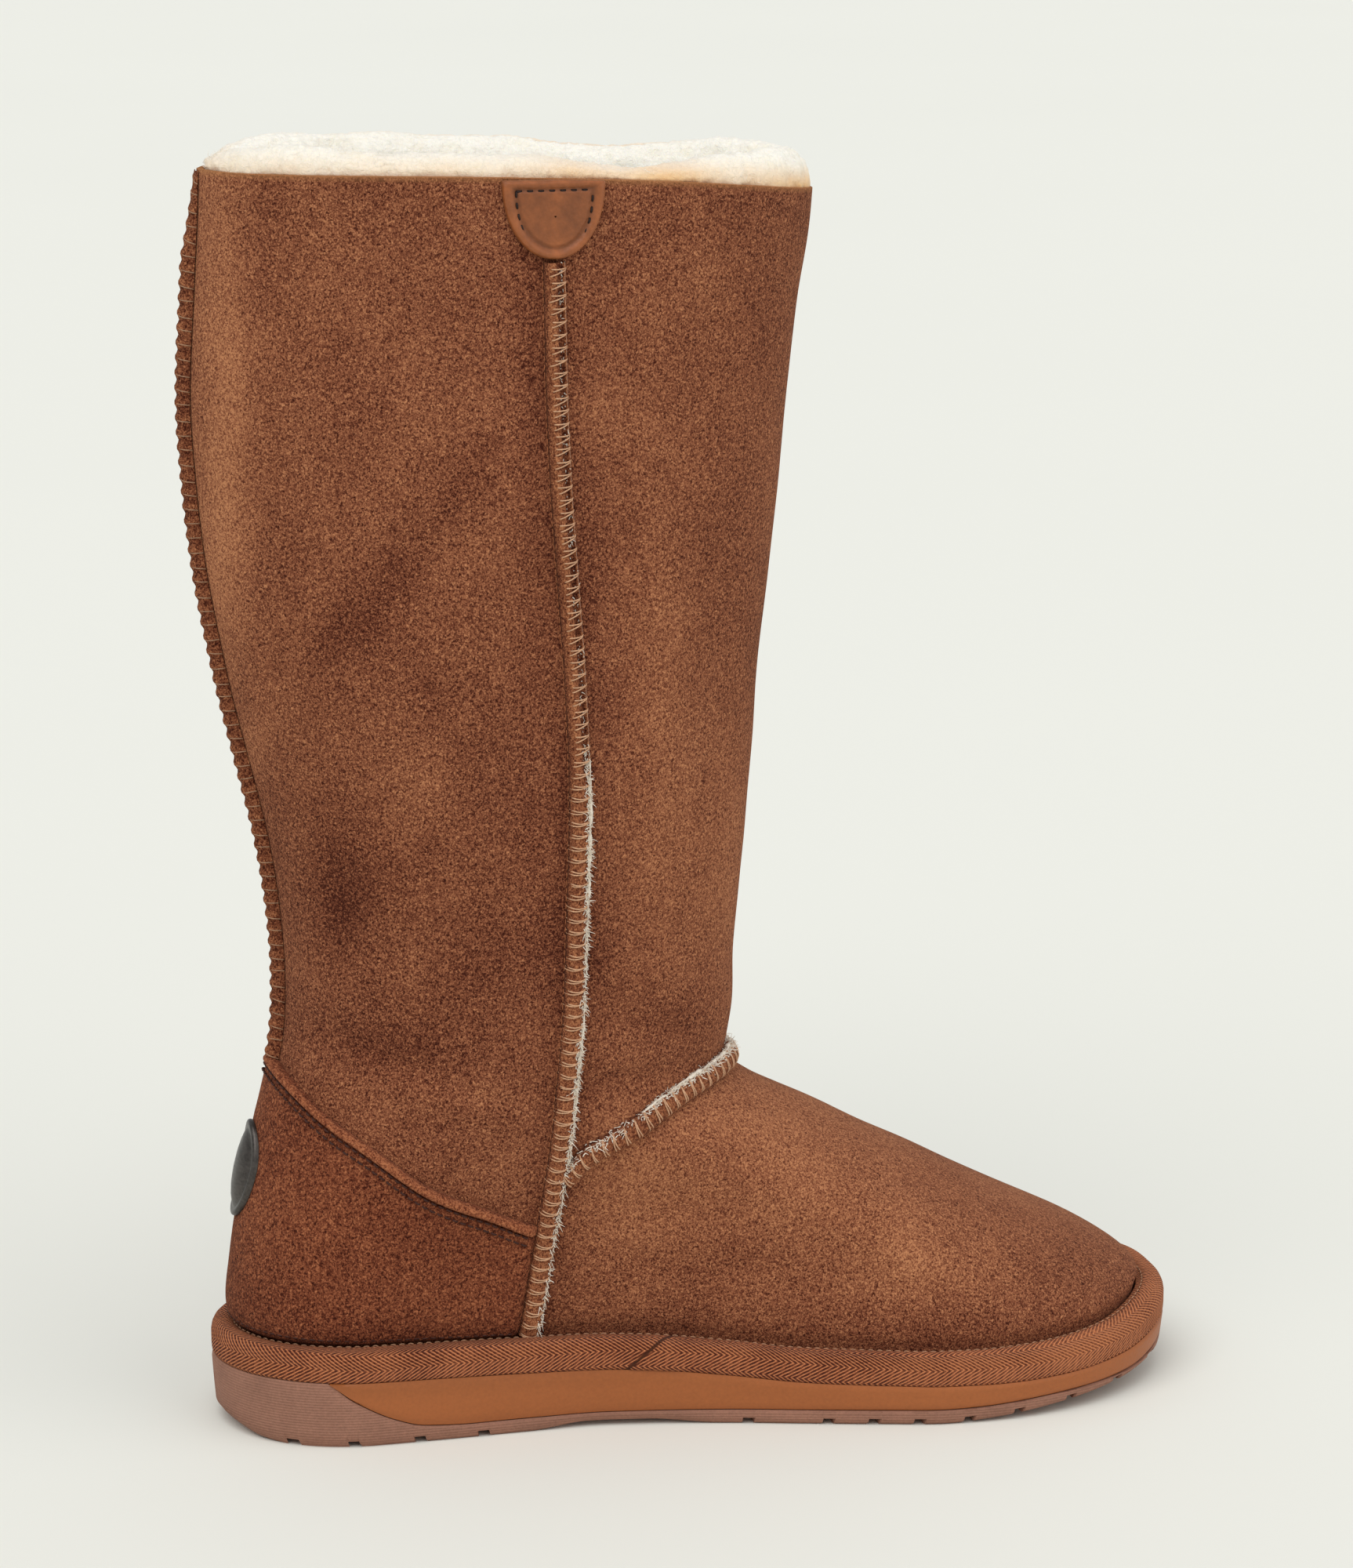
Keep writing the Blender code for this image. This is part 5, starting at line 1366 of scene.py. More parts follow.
class Ridge:
    """Raised seam: its middle line on the skin, with the directions across and out at each point."""

    def __init__(self, rows_and_columns, pitch, half_width, height):
        places = np.array(rows_and_columns)
        points = SKIN.at(places[:, 0], places[:, 1])[0]
        reach = np.concatenate(([0.0], np.cumsum(np.linalg.norm(np.diff(points, axis=0), axis=1))))
        count = int(reach[-1] / pitch) + 1
        even = np.linspace(0, reach[-1], count)
        places = np.stack([np.interp(even, reach, places[:, k]) for k in (0, 1)], axis=1)
        self.points, self.normals = SKIN.at(places[:, 0], places[:, 1])
        self.length = reach[-1]
        self.along = unit(np.gradient(self.points, axis=0))
        self.across = unit(np.cross(self.normals, self.along))
        self.half_width = half_width
        self.height = height
        self.fade = None

    def lift_at(self, u):
        return self.height * np.sqrt(np.clip(1 - np.abs(u) ** 2.6, 0, 1))

    def groove_at(self, u, front):
        """Depth of the groove behind the front lip, as a share of the ridge's height."""
        return 0.42 * np.interp(u * front, (0.0, 0.22, 0.60, 0.78), (0.0, 1.0, 1.0, 0.0))

    def zone(self, place):
        """1 in the shaft's upper part, where the seam has its groove, and 0 below."""
        heights = np.interp(place, np.linspace(0, self.length, len(self.points)), self.points[:, 2])
        return smooth_step(0.180, 0.200, heights)

    def us(self, front=0):
        if not front:
            return np.array([-1.0, -0.97, -0.85, -0.6, -0.3, 0.0, 0.3, 0.6, 0.85, 0.97, 1.0])
        us = np.array([-1.0, -0.97, -0.9, -0.75, -0.5, -0.25, 0.0, 0.1, 0.2, 0.3, 0.45, 0.58, 0.66, 0.74,
                       0.82, 0.9, 0.97, 1.0]) * front
        return us if front > 0 else us[::-1]

    def point(self, place, u, lift=0.0, scale=1.0, front=0):
        """Point over the ridge at a length along it, and across it from -1 to 1."""
        place, u = np.broadcast_arrays(np.asarray(place, float), np.asarray(u, float))
        share = np.clip(place / self.length, 0, 1) * (len(self.points) - 1)
        i = np.minimum(share.astype(int), len(self.points) - 2)
        part = (share - i)[:, None]

        def read(grid):
            return grid[i] * (1 - part) + grid[i + 1] * part

        rise = self.lift_at(u) * scale
        if front:
            rise = rise * (1 - self.groove_at(u, front) * self.zone(place))
        if self.fade is not None:
            rise = rise * read(self.fade[:, None])[:, 0]
        out = rise + lift
        return (read(self.points) + read(self.across) * (u * self.half_width)[:, None]
                + read(self.normals) * out[:, None])

    def band(self, pitch, pinch, front=0):
        """Grid of the ridge's face, drawn in a little under each thread."""
        places = np.arange(0.0, self.length, pitch / 5)
        us = self.us(front)
        rows = []
        for place in places:
            drawn = 1 - pinch * math.cos(2 * math.pi * place / pitch)
            rows.append(self.point(place, us, scale=drawn, front=front))
        return np.array(rows)

    def stitch_pairs(self, pitch, radius, front, seed):
        """Two threads a stitch: over the groove one straight and one slanting back, lower down two bows."""
        rng = np.random.default_rng(seed)
        paths = []
        for place in np.arange(pitch / 2, self.length - pitch / 2, pitch):
            zone = float(self.zone(place))
            first = mix(0.92, 0.98, zone)
            for slant in (0.04, mix(0.26, 0.42, zone)):
                us = np.linspace(first, mix(-0.94, -0.58, zone) + rng.normal(0, 0.06), 9)
                away = (first - us) / (first - us[-1])
                bow = np.sin(away * math.pi) * mix(0.16, 0.05, zone)
                fall = slant * away * (1.0 + 0.3 * away) + bow + rng.normal(0, 0.03)
                sink = np.where(away > 0.95, -radius * 2.5, radius * 0.8)
                paths.append(self.point(place - fall * pitch, us * front, lift=sink))
        return paths

    def rungs(self, pitch, radius, slant, seed, reach):
        """Threads over the ridge, one for each stitch, each a little askew."""
        rng = np.random.default_rng(seed)
        paths = []
        for place in np.arange(pitch / 2, self.length, pitch):
            skew = slant + rng.normal(0, 0.12)
            us = np.linspace(-reach, reach, 9)
            bow = rng.normal(0, 0.10) * (1 - us ** 2)
            places = place + (us * skew + bow) * pitch * 0.5 + rng.normal(0, 0.04) * pitch
            paths.append(self.point(places, us, lift=radius * 0.5))
        return paths


def fibres(points, normals, lengths, rng, sag, curl):
    """Short curled wool fibres that stand on points and lean at random."""
    paths = []
    for point, normal, length in zip(points, normals, lengths):
        lean = unit(normal + rng.normal(0, 0.55, 3))
        bend = rng.normal(0, curl, 3)
        steps = np.linspace(0, 1, 4)[:, None]
        path = point + length * (lean * steps + bend * steps ** 2 * 0.6)
        path[:, 2] -= length * sag * steps[:, 0] ** 2
        paths.append(path)
    return paths


class BOOT_OT_seams(bpy.types.Operator):
    """Raise the seams of sides, vamp and back, with their threads and the wool that works through them"""
    bl_idname = "boot.seams"
    bl_label = "Raised seams"

    def execute(self, context):
        self.suede = suede("seam_suede", colour("seam"), sizes().grain)
        self.thread = thread("seam_thread", colour("thread"))
        # The fin's thread is the seam thread darkened: painted shade on the shadowed fin
        self.shaded_fin_thread = thread("seam_back_thread", shade_of(colour("thread"), 0.65))
        self.rear_thread = thread("seam_rear_thread", colour("rear_thread"))
        self.wool = wool("seam_wool", colour("seam_wool"))
        tab_bottom = collar_height(seam_place(COLLAR_HEIGHT)) - TAB_DROP
        slit_bottom = collar_height(SLIT_PLACE) - SLIT_DEPTH
        for node, inner, top in (("seam_inner_side", True, tab_bottom - GAP),
                                 ("seam_outer_side", False, slit_bottom - 0.001)):
            heights = np.linspace(binding_top(0.08) - 0.0005, top, 90)
            places = []
            for height in heights:
                column = SKIN.column_at(seam_place(height), height, inner)
                places.append((SKIN.row_at(column, height), column))
            ridge = Ridge(places, 0.001, SEAM_WIDTH / 2, SEAM_HEIGHT)
            self.raise_seam(node, ridge, front=-1 if inner else 1, seed=11 if inner else 12)
        self.raise_seam("seam_vamp", Ridge(self.vamp_places(), 0.001, SEAM_WIDTH / 2, SEAM_HEIGHT), 1, 13)
        back = [(row, 0.0) for row in np.linspace(
            SKIN.row_at(0.0, counter_height(0.0) * 0.93), ROWS - 1.0, 120)]
        self.raise_back(Ridge(back, 0.001, BACK_SEAM_WIDTH / 2, BACK_SEAM_HEIGHT))
        return {"FINISHED"}

    def vamp_places(self):
        """The vamp's seam on the skin, from one side seam over the instep to the other."""
        side = []
        first, last = SOLE_LENGTH * 0.338, SOLE_LENGTH * 0.535
        for x in np.linspace(first, last, 40):
            height = vamp_height(x)
            side.append((SKIN.column_at(x, height, True), height))
        end_column = side[-1][0]
        over = [(column, side[-1][1] + 0.0003 * math.sin(math.pi * share))
                for share, column in ((s, mix(end_column, SKIN.columns - end_column, s))
                                      for s in np.linspace(0.05, 0.95, 20))]
        other = [(-column, height) for column, height in reversed(side)]
        places = side + over + other
        return [(SKIN.row_at(column, height), column % SKIN.columns) for column, height in places]

    def raise_seam(self, node, ridge, front, seed):
        """A ridge with a wool-filled groove behind its front lip, and pairs of threads over the groove."""
        radius = sizes().thread / 2
        band = ridge.band(sizes().stitch, 0.05, front)
        mesh = mesh_from(node + "_band", band, grid_faces(*band.shape[:2]))
        us = ridge.us(front) * front
        zone = ridge.zone(np.linspace(0, ridge.length, len(band)))[:, None]
        # Painted light and shade across the ridge: painted shadow along both of its feet, painted highlight
        # on its top, its rear slope and its front lip, and painted shade in the groove
        grooved = np.interp(us, (-1.0, -0.95, -0.5, 0.05, 0.2, 0.6, 0.78, 0.95, 1.0),
                            (-0.40, -0.06, 0.14, 0.04, -0.20, -0.20, 0.20, 0.16, -0.3))
        plain = np.interp(us, (-1.0, -0.92, -0.5, 0.3, 0.7, 0.9, 1.0),
                          (-0.40, 0.0, 0.08, 0.08, 0.04, -0.05, -0.3))
        tone = grooved * zone + plain * (1 - zone)
        paint(mesh, "tone", np.broadcast_to(tone, band.shape[:2]))
        paint(mesh, "edge", np.zeros(band.shape[:2]))
        lay(mesh, self.suede, "seam", node)
        paths = ridge.stitch_pairs(sizes().stitch, radius, front, seed)
        threads = tubes_mesh(node + "_threads", paths, radius, sides=6)
        lay(threads, self.thread, "seam")
        line = ridge.point(np.arange(0.0, ridge.length, 0.0004), -front * 1.04, lift=radius * 0.5)
        rows = stitches_along(line, 0.0022, 0.0013, radius)
        short = tubes_mesh(node + "_rear_row", rows, radius * 0.8, 5)
        lay(short, self.rear_thread, "seam")
        self.tuft(node, ridge, front, seed)

    def tuft(self, node, ridge, front, seed):
        """Wool along the front edge, thick in some stretches, and a little in the upper groove."""
        rng = np.random.default_rng(seed)

        def density(place):
            height = ridge.point(place, np.zeros(len(place)))[:, 2]
            if node == "seam_vamp":
                base = np.interp(height, (0.070, 0.074, 0.088, 0.092, 0.100), (0.9, 0.35, 0.35, 1.0, 1.0))
            else:
                base = np.interp(
                    height, (0.03, 0.068, 0.083, 0.088, 0.108, 0.118, 0.146, 0.156, 0.188, 0.198),
                    (0.20, 0.40, 0.60, 1.0, 0.95, 0.60, 0.60, 1.0, 0.85, 0.08))
            patchy = line_noise(place, 0.007, seed)
            return np.clip(base * (1.0 + 0.7 * patchy), 0, 1)

        count = int(ridge.length / 0.00006)
        places = rng.uniform(0, ridge.length, count)
        places = places[rng.uniform(0, 1, count) < density(places)]
        zone = ridge.zone(places)
        middle = 0.78 * (1 - zone) + 0.42 * zone
        us = front * np.clip(middle + rng.normal(0, 0.17, len(places)), 0.1, 1.10)
        roots = ridge.point(places, us, front=front)
        i = (places / ridge.length * (len(ridge.points) - 1)).astype(int)
        lean = unit(ridge.normals[i] * 0.5 + ridge.along[i] * rng.normal(0, 1.3, (len(i), 1))
                    + ridge.across[i] * front * 0.1)
        lengths = rng.uniform(0.0005, 0.0016, len(places)) * (1 - 0.4 * zone)
        hair = fibres(roots, lean, lengths, rng, 0.3, 0.6)
        taper = np.array((1.3, 1.1, 0.8, 0.3)) * 0.00013
        fluff = tubes_mesh(node + "_wool", hair, [taper] * len(hair), 3)
        lay(fluff, self.wool, "wool", smooth=False)
        places = np.arange(0.0, ridge.length, 0.0006)
        path = ridge.point(places, front * (0.84 + 0.10 * line_noise(places, 0.004, seed)))
        bulk = (density(places) - 0.3) * (1 - ridge.zone(places))
        radii = np.clip(bulk * (0.9 + 1.2 * noise_at(path, 0.0020, seed)), 0.02, 1.0) * 0.0008
        roll = tubes_mesh(node + "_wool_roll", [path], [radii], 10)
        lay(roll, self.wool, "wool")

    def raise_back(self, ridge):
        """Narrow fin up the back, wrapped by thread, that thins out below the collar."""
        pitch, radius = sizes().stitch * 1.18, sizes().thread / 2
        heights = ridge.points[:, 2]
        ridge.fade = np.interp(COLLAR_HEIGHT - heights, (0.0, BACK_SEAM_FADE), (0.12, 0.80))
        band = ridge.band(pitch, 0.10)
        mesh = mesh_from("seam_back_band", band, grid_faces(*band.shape[:2]))
        # Painted shade over the fin, deepest in the dips drawn in under each thread
        wrap = np.cos(2 * math.pi * np.arange(len(band)) / 5.0)
        paint(mesh, "tone", np.broadcast_to((-0.05 - 0.09 * wrap)[:, None], band.shape[:2]))
        paint(mesh, "edge", np.zeros(band.shape[:2]))
        lay(mesh, self.suede, "seam", "seam_back")
        paths = ridge.rungs(pitch, radius * 0.8, 0.45, 14, 1.1)
        threads = tubes_mesh("seam_back_threads", paths, radius * 0.8, sides=6)
        lay(threads, self.shaded_fin_thread, "seam")


# Tab and badge

def disc_grid(outline, rings, seat, profile):
    """Rings of points from a centre out to an outline, set on the skin by a seat function."""
    outline = np.array(outline)
    centre = outline.mean(axis=0)
    grid = []
    for share, up in [(s, 1.0) for s in np.linspace(0.02, profile[0][0] - 0.02, rings)] + list(profile):
        ring = centre + (outline - centre) * share
        grid.append([seat(a, b, up) for a, b in ring])
    return np.array(grid)


class BOOT_OT_tab(bpy.types.Operator):
    """Sew the half-round leather tab to the collar's inner side"""
    bl_idname = "boot.tab"
    bl_label = "Collar tab"

    def execute(self, context):
        centre = seam_place(COLLAR_HEIGHT)
        top = collar_height(centre)
        outline = self.outline(centre, top, 0.0)

        def seat(x, z, up):
            return SKIN.side(x, min(z, collar_height(x)), True, GAP + TAB_THICKNESS * up)[0]

        profile = [(0.66, 0.98), (0.70, 0.84), (0.74, 0.74), (0.78, 0.84), (0.82, 1.02), (0.87, 1.16),
                   (0.92, 1.18), (0.96, 1.04), (0.985, 0.80), (1.0, 0.4), (1.003, 0.0)]
        grid = disc_grid(outline, 16, seat, profile)
        mesh = mesh_from("collar_tab_leather", grid, grid_faces(*grid.shape[:2], close_columns=True))
        x = grid[..., 0] - START.x - centre
        # Painted shade in the groove inside the rim and along the outer edge, painted highlight on the
        # raised rim, and a lighter band down the tab's middle
        rim = np.concatenate([np.full(16, -0.10), (-0.12, -0.22, -0.30, -0.12, 0.04, 0.10, 0.12, 0.14, 0.05,
                                                   -0.1, -0.2)])[:, None]
        paint(mesh, "tone", rim + 0.16 * np.exp(-(x / 0.0022) ** 2) * (rim < -0.05))
        material = smooth_leather("tab_leather", colour("tab"))
        lay(mesh, material, "tab_leather", "collar_tab")
        self.sew(centre, top)
        return {"FINISHED"}

    def outline(self, centre, top, inset):
        half, drop = TAB_WIDTH / 2 - inset, TAB_DROP - inset
        points = []
        for k in range(49):
            turn = math.pi * k / 48
            points.append((centre - half * math.cos(turn), top - drop * math.sin(turn) ** 0.9))
        straight = np.linspace(centre + half, centre - half, 22)[1:-1]
        return points + [(x, top) for x in straight]

    def sew(self, centre, top):
        """Stitches in dark holes, a needle's width inside the edge: near-black thread that paints the shade
        inside the holes.
        """
        inset = 0.0036
        line = np.array(self.outline(centre, top - inset * 0.8, inset)[:49])
        ring = np.array([SKIN.side(x, z, True, GAP + TAB_THICKNESS * 0.8)[0] for x, z in line])
        cross = np.array([SKIN.side(x, top - inset * 0.8, True, GAP + TAB_THICKNESS * 0.8)[0]
                          for x in np.linspace(centre - TAB_WIDTH / 2 + inset,
                                               centre + TAB_WIDTH / 2 - inset, 20)])
        holes = []
        for path in (ring, cross):
            holes += stitches_along(path, 0.0028, 0.0015, sizes().thread * 0.5)
        dark = thread("tab_holes", colour("holes"))
        mesh = tubes_mesh("tab_stitching", holes, sizes().thread * 0.85, sides=6)
        lay(mesh, dark, "tab_leather")


class BOOT_OT_badge(bpy.types.Operator):
    """Fix the bare domed plate to the counter at the back of the heel"""
    bl_idname = "boot.badge"
    bl_label = "Heel plate"

    def execute(self, context):
        seat = GAP + COUNTER_THICKNESS
        rings = []
        for share, up in (
                (1.0, 0.0), (1.0, 0.25), (0.985, 0.42), (0.95, 0.50), (0.90, 0.50), (0.86, 0.42),
                (0.82, 0.40), (0.76, 0.52), (0.60, 0.74), (0.40, 0.90), (0.20, 0.98), (0.02, 1.0)):
            ring = []
            for k in range(64):
                turn = 2 * math.pi * k / 64
                y = BADGE_WIDTH / 2 * share * math.sin(turn)
                z = BADGE_RISE + BADGE_HEIGHT / 2 * share * math.cos(turn)
                ring.append(self.heel_point(y, z, seat + BADGE_DOME * up))
            rings.append(ring)
        rings = np.array(rings)
        mesh = mesh_from("heel_plate", rings, grid_faces(*rings.shape[:2], close_columns=True))
        lay(mesh, pewter("plate_pewter", colour("badge")), "pewter", "heel_badge")
        return {"FINISHED"}

    def heel_point(self, y, height, proud):
        def place(column):
            return SKIN.at(SKIN.row_at(column, height), column, proud)[0]

        column = last_true(lambda c: abs(place(c)[1] - START.y) < abs(y), 0.0, SKIN.columns / 4, 18)
        return place(column if y < 0 else -column)


# Sole

def edge_angles(count):
    """Angles of the sole's outline at about even steps along its edge."""
    fine = np.linspace(0, 2 * math.pi, 1441)
    points = np.array([sole_edge(angle % (2 * math.pi)) for angle in fine])
    reach = np.concatenate(([0.0], np.cumsum(np.linalg.norm(np.diff(points, axis=0), axis=1))))
    even = np.linspace(0, reach[-1], count, endpoint=False)
    return np.interp(even, reach, fine), even, reach[-1]


def upper_foot(angle, proud):
    """Point of the upper's lowest edge in the direction of an angle of the sole."""
    return SKIN.at(0.0, angle / (2 * math.pi) * SKIN.columns, proud)[0]


def tape_place(angle, across, up):
    """Place on the bound edge, across it from the sole's outline to the upper, at a height."""
    outer_x, outer_y = sole_edge(angle)
    inner = upper_foot(angle, GAP) - np.array(START)
    return boot_place(mix(outer_x, inner[0], across), mix(outer_y, inner[1], across), sole_top(outer_x) + up)


class BOOT_OT_binding(bpy.types.Operator):
    """Bind the sole's edge with herringbone tape and its stitching"""
    bl_idname = "boot.binding"
    bl_label = "Bound edge"

    def execute(self, context):
        turns, reach, total = edge_angles(560)
        profile = [(1.0, 0.0), (0.06, 0.0), (0.015, 0.08), (0.0, 0.25), (0.0, 0.45), (0.0, 0.62),
                   (0.03, 0.76), (0.09, 0.87), (0.18, 0.95), (0.30, 0.99), (0.45, 1.0), (0.60, 0.99),
                   (0.72, 0.95), (0.80, 0.88), (0.88, 0.86), (0.96, 0.88), (1.0, 0.86)]
        splice = self.splice_place(turns, reach)
        grid = np.zeros((len(turns), len(profile), 3))
        uv = np.zeros((len(turns), len(profile), 2))
        for i, angle in enumerate(turns):
            flat = 0.0
            for j, (across, up) in enumerate(profile):
                grid[i, j] = tape_place(angle, across, GAP / 2 + BINDING_HEIGHT * up)
                if j:
                    flat += float(np.linalg.norm(grid[i, j] - grid[i, j - 1]))
                uv[i, j] = reach[i], flat
        outward = unit(np.cross(np.array((0, 0, 1.0)), -np.gradient(grid[:, 4], axis=0)))
        lap = smooth_step(splice, splice + 0.0008, uv[..., 0] - uv[..., 1] * 1.1)
        lap *= 1 - smooth_step(splice + 0.010, splice + 0.022, uv[..., 0] - uv[..., 1] * 1.1)
        puff = noise_at(grid, 0.012, 3.0) * 0.00025 + lap * 0.00045
        inside = (np.array([across for across, _ in profile]) < 0.7)[None, :]
        grid += outward[:, None, :] * (puff * inside)[..., None]
        mesh = mesh_from("bound_edge", grid, grid_faces(len(turns), len(profile), True, True))
        # Painted light: the tape is lighter towards the toe, where more light falls
        paint(mesh, "tone", smooth_step(0.175, 0.235, grid[..., 0] - START.x) * 0.22)
        layer = mesh.uv_layers.new(name="tape")
        columns = len(profile)
        for loop in mesh.loops:
            i, j = divmod(loop.vertex_index, columns)
            layer.data[loop.index].uv = uv[i, j]
        for polygon in mesh.polygons:
            if any(v >= (len(turns) - 1) * columns for v in polygon.vertices):
                for index in polygon.loop_indices:
                    if mesh.loops[index].vertex_index < columns:
                        layer.data[index].uv[0] = total
        material = herringbone("twill_tape", colour("twill"), sizes().twill, splice)
        lay(mesh, material, "twill", "welt_binding")
        self.stitch(turns)
        return {"FINISHED"}

    def splice_place(self, turns, reach):
        """Length along the edge at which the tape's ends overlap, on the inner side."""
        for angle, place in zip(turns, reach):
            if 0 < angle < math.pi and sole_edge(angle)[0] > 0.103:
                return float(place)
        return 0.0

    def stitch(self, turns):
        """Line of stitches along the tape's inner top edge."""
        line = [tape_place(angle, 0.78, GAP + BINDING_HEIGHT * 0.93) for angle in turns]
        line.append(line[0])
        paths = []
        fine = even_points(np.array(line), pitch=0.0005)
        for k in range(0, len(fine) - 4, 5):
            part = fine[k:k + 4].copy()
            part[:, 2] += np.array((-0.25, 0.2, 0.2, -0.25)) * sizes().thread
            paths.append(part)
        mesh = tubes_mesh("edge_stitching", paths, sizes().thread * 0.5, sides=5)
        material = thread("edge_thread", colour("edge_thread"))
        lay(mesh, material, "twill")


class BOOT_OT_sole(bpy.types.Operator):
    """Mould the midsole wedge and the tread with its cross grooves"""
    bl_idname = "boot.sole"
    bl_label = "Midsole and tread"

    def execute(self, context):
        self.midsole()
        self.tread()
        return {"FINISHED"}

    def side_profile(self, x, low, high, angle):
        """Points up the sole's side between two heights, drawn in towards the ground."""
        points = []
        for share in np.linspace(0, 1, 9):
            z = mix(low, high, share)
            height = (z - ground(x)) / max(sole_top(x) - ground(x), 1e-6)
            inset = SOLE_TAPER * np.interp(height, (0.0, 0.12, 0.5, 1.0), (1.0, 0.5, 0.25, 0.0))
            round_off = 0.0005 * (max(0.0, 1 - share * 9) + max(0.0, 1 - (1 - share) * 9))
            px, py = sole_edge(angle, inset + round_off)
            points.append((px, py, z))
        return points

    def block(self, name, stations, low, high, material, slot, node):
        loops = []
        for angle in stations:
            x = sole_edge(angle)[0]
            inner = self.side_profile(x, low(x), high(x), angle)
            outer = self.side_profile(x, low(x), high(x), 2 * math.pi - angle)
            loops.append(inner + outer[::-1])
        loops = np.array(loops) + np.array(START)
        count = loops.shape[1]
        faces = grid_faces(len(loops), count, close_columns=True)[:, ::-1].tolist()
        faces.append(list(range(count)))
        last = (len(loops) - 1) * count
        faces.append([last + k for k in reversed(range(count))])
        mesh = mesh_from(name, loops, faces)
        lay(mesh, material, slot, node, smooth_angle=40)

    def midsole(self):
        start = next(angle for angle in np.linspace(0, math.pi, 2000)
                     if wedge_line(sole_edge(angle)[0]) < sole_top(sole_edge(angle)[0]) - 0.0003)
        stations = np.linspace(start, math.pi - 0.001, 200)
        self.block("midsole_wedge", stations, lambda x: wedge_line(x) + GAP / 2, sole_top,
                   foam("midsole_foam", colour("midsole")), "midsole", "midsole")

    def tread(self):
        stations = list(np.linspace(0.001, math.pi - 0.001, 200))
        grooves = [along * SOLE_LENGTH for along in GROOVES]
        wide = GROOVE_WIDTH * GROOVE_WIDER
        for x in grooves:
            for shift in (-1.0, -0.97, 0.97, 1.0):
                cosine = 1 - 2 * (x + shift * wide / 2) / SOLE_LENGTH
                stations.append(math.acos(max(-1.0, min(1.0, cosine))))

        def low(x):
            cut = any(abs(x - place) < wide / 2 * 0.985 for place in grooves)
            return ground(x) + (GROOVE_DEPTH * GROOVE_DEEPER if cut else 0.0)

        self.block("tread", sorted(stations), low, lambda x: min(wedge_line(x) - GAP / 2, sole_top(x)),
                   tread_rubber("tread_rubber", colour("tread")), "tread", "outsole")


# Wool

def fleece_ring(column):
    """Cross-section of the collar's fleece in one column, soft and rounded, from the wall's cut edge in."""
    edge = SKIN.at(ROWS - 1.0, column)[0]
    outward = SKIN.read(SKIN.normals, np.array(ROWS - 1.0), np.array(column)).copy()
    outward[2] = 0.0
    outward = unit(outward)
    face, reach, depth = WALL + GAP, FLEECE_REACH, FLEECE_DEPTH
    proud = smooth_read(WOOL_CREST, "along", "rise", (edge[0] - START.x) / SOLE_LENGTH) * FLEECE_PROUD
    profile = ((face, -reach), (face, -reach / 2), (face, -0.001), (face - WALL * 0.55, proud * 0.02),
               (face - WALL * 0.60, proud * 0.22), (face - WALL * 0.35, proud * 0.55),
               (face + depth * 0.10, proud * 0.85), (face + depth * 0.30, proud * 1.0),
               (face + depth * 0.52, proud * 0.90), (face + depth * 0.75, proud * 0.35),
               (face + depth * 0.93, -reach * 0.12), (face + depth, -reach * 0.28),
               (face + depth * 1.02, -reach * 0.5), (face + depth * 0.95, -reach * 0.8),
               (face + depth * 0.8, -reach))
    points = []
    for inward, up in profile:
        anchor = edge
        if up < 0:
            anchor = SKIN.at(SKIN.row_at(column, edge[2] + up), column)[0]
        points.append((anchor[0] - outward[0] * inward, anchor[1] - outward[1] * inward, edge[2] + up))
    return points


def grid_read(grid, i, j):
    """Points of a grid at fractional rows and columns."""
    a = np.clip(i, 0, grid.shape[0] - 1.001)
    b = np.clip(j, 0, grid.shape[1] - 1.001)
    row, column = a.astype(int), b.astype(int)
    up, on = (a - row)[..., None], (b - column)[..., None]
    near = grid[row, column] * (1 - on) + grid[row, column + 1] * on
    far = grid[row + 1, column] * (1 - on) + grid[row + 1, column + 1] * on
    return near * (1 - up) + far * up


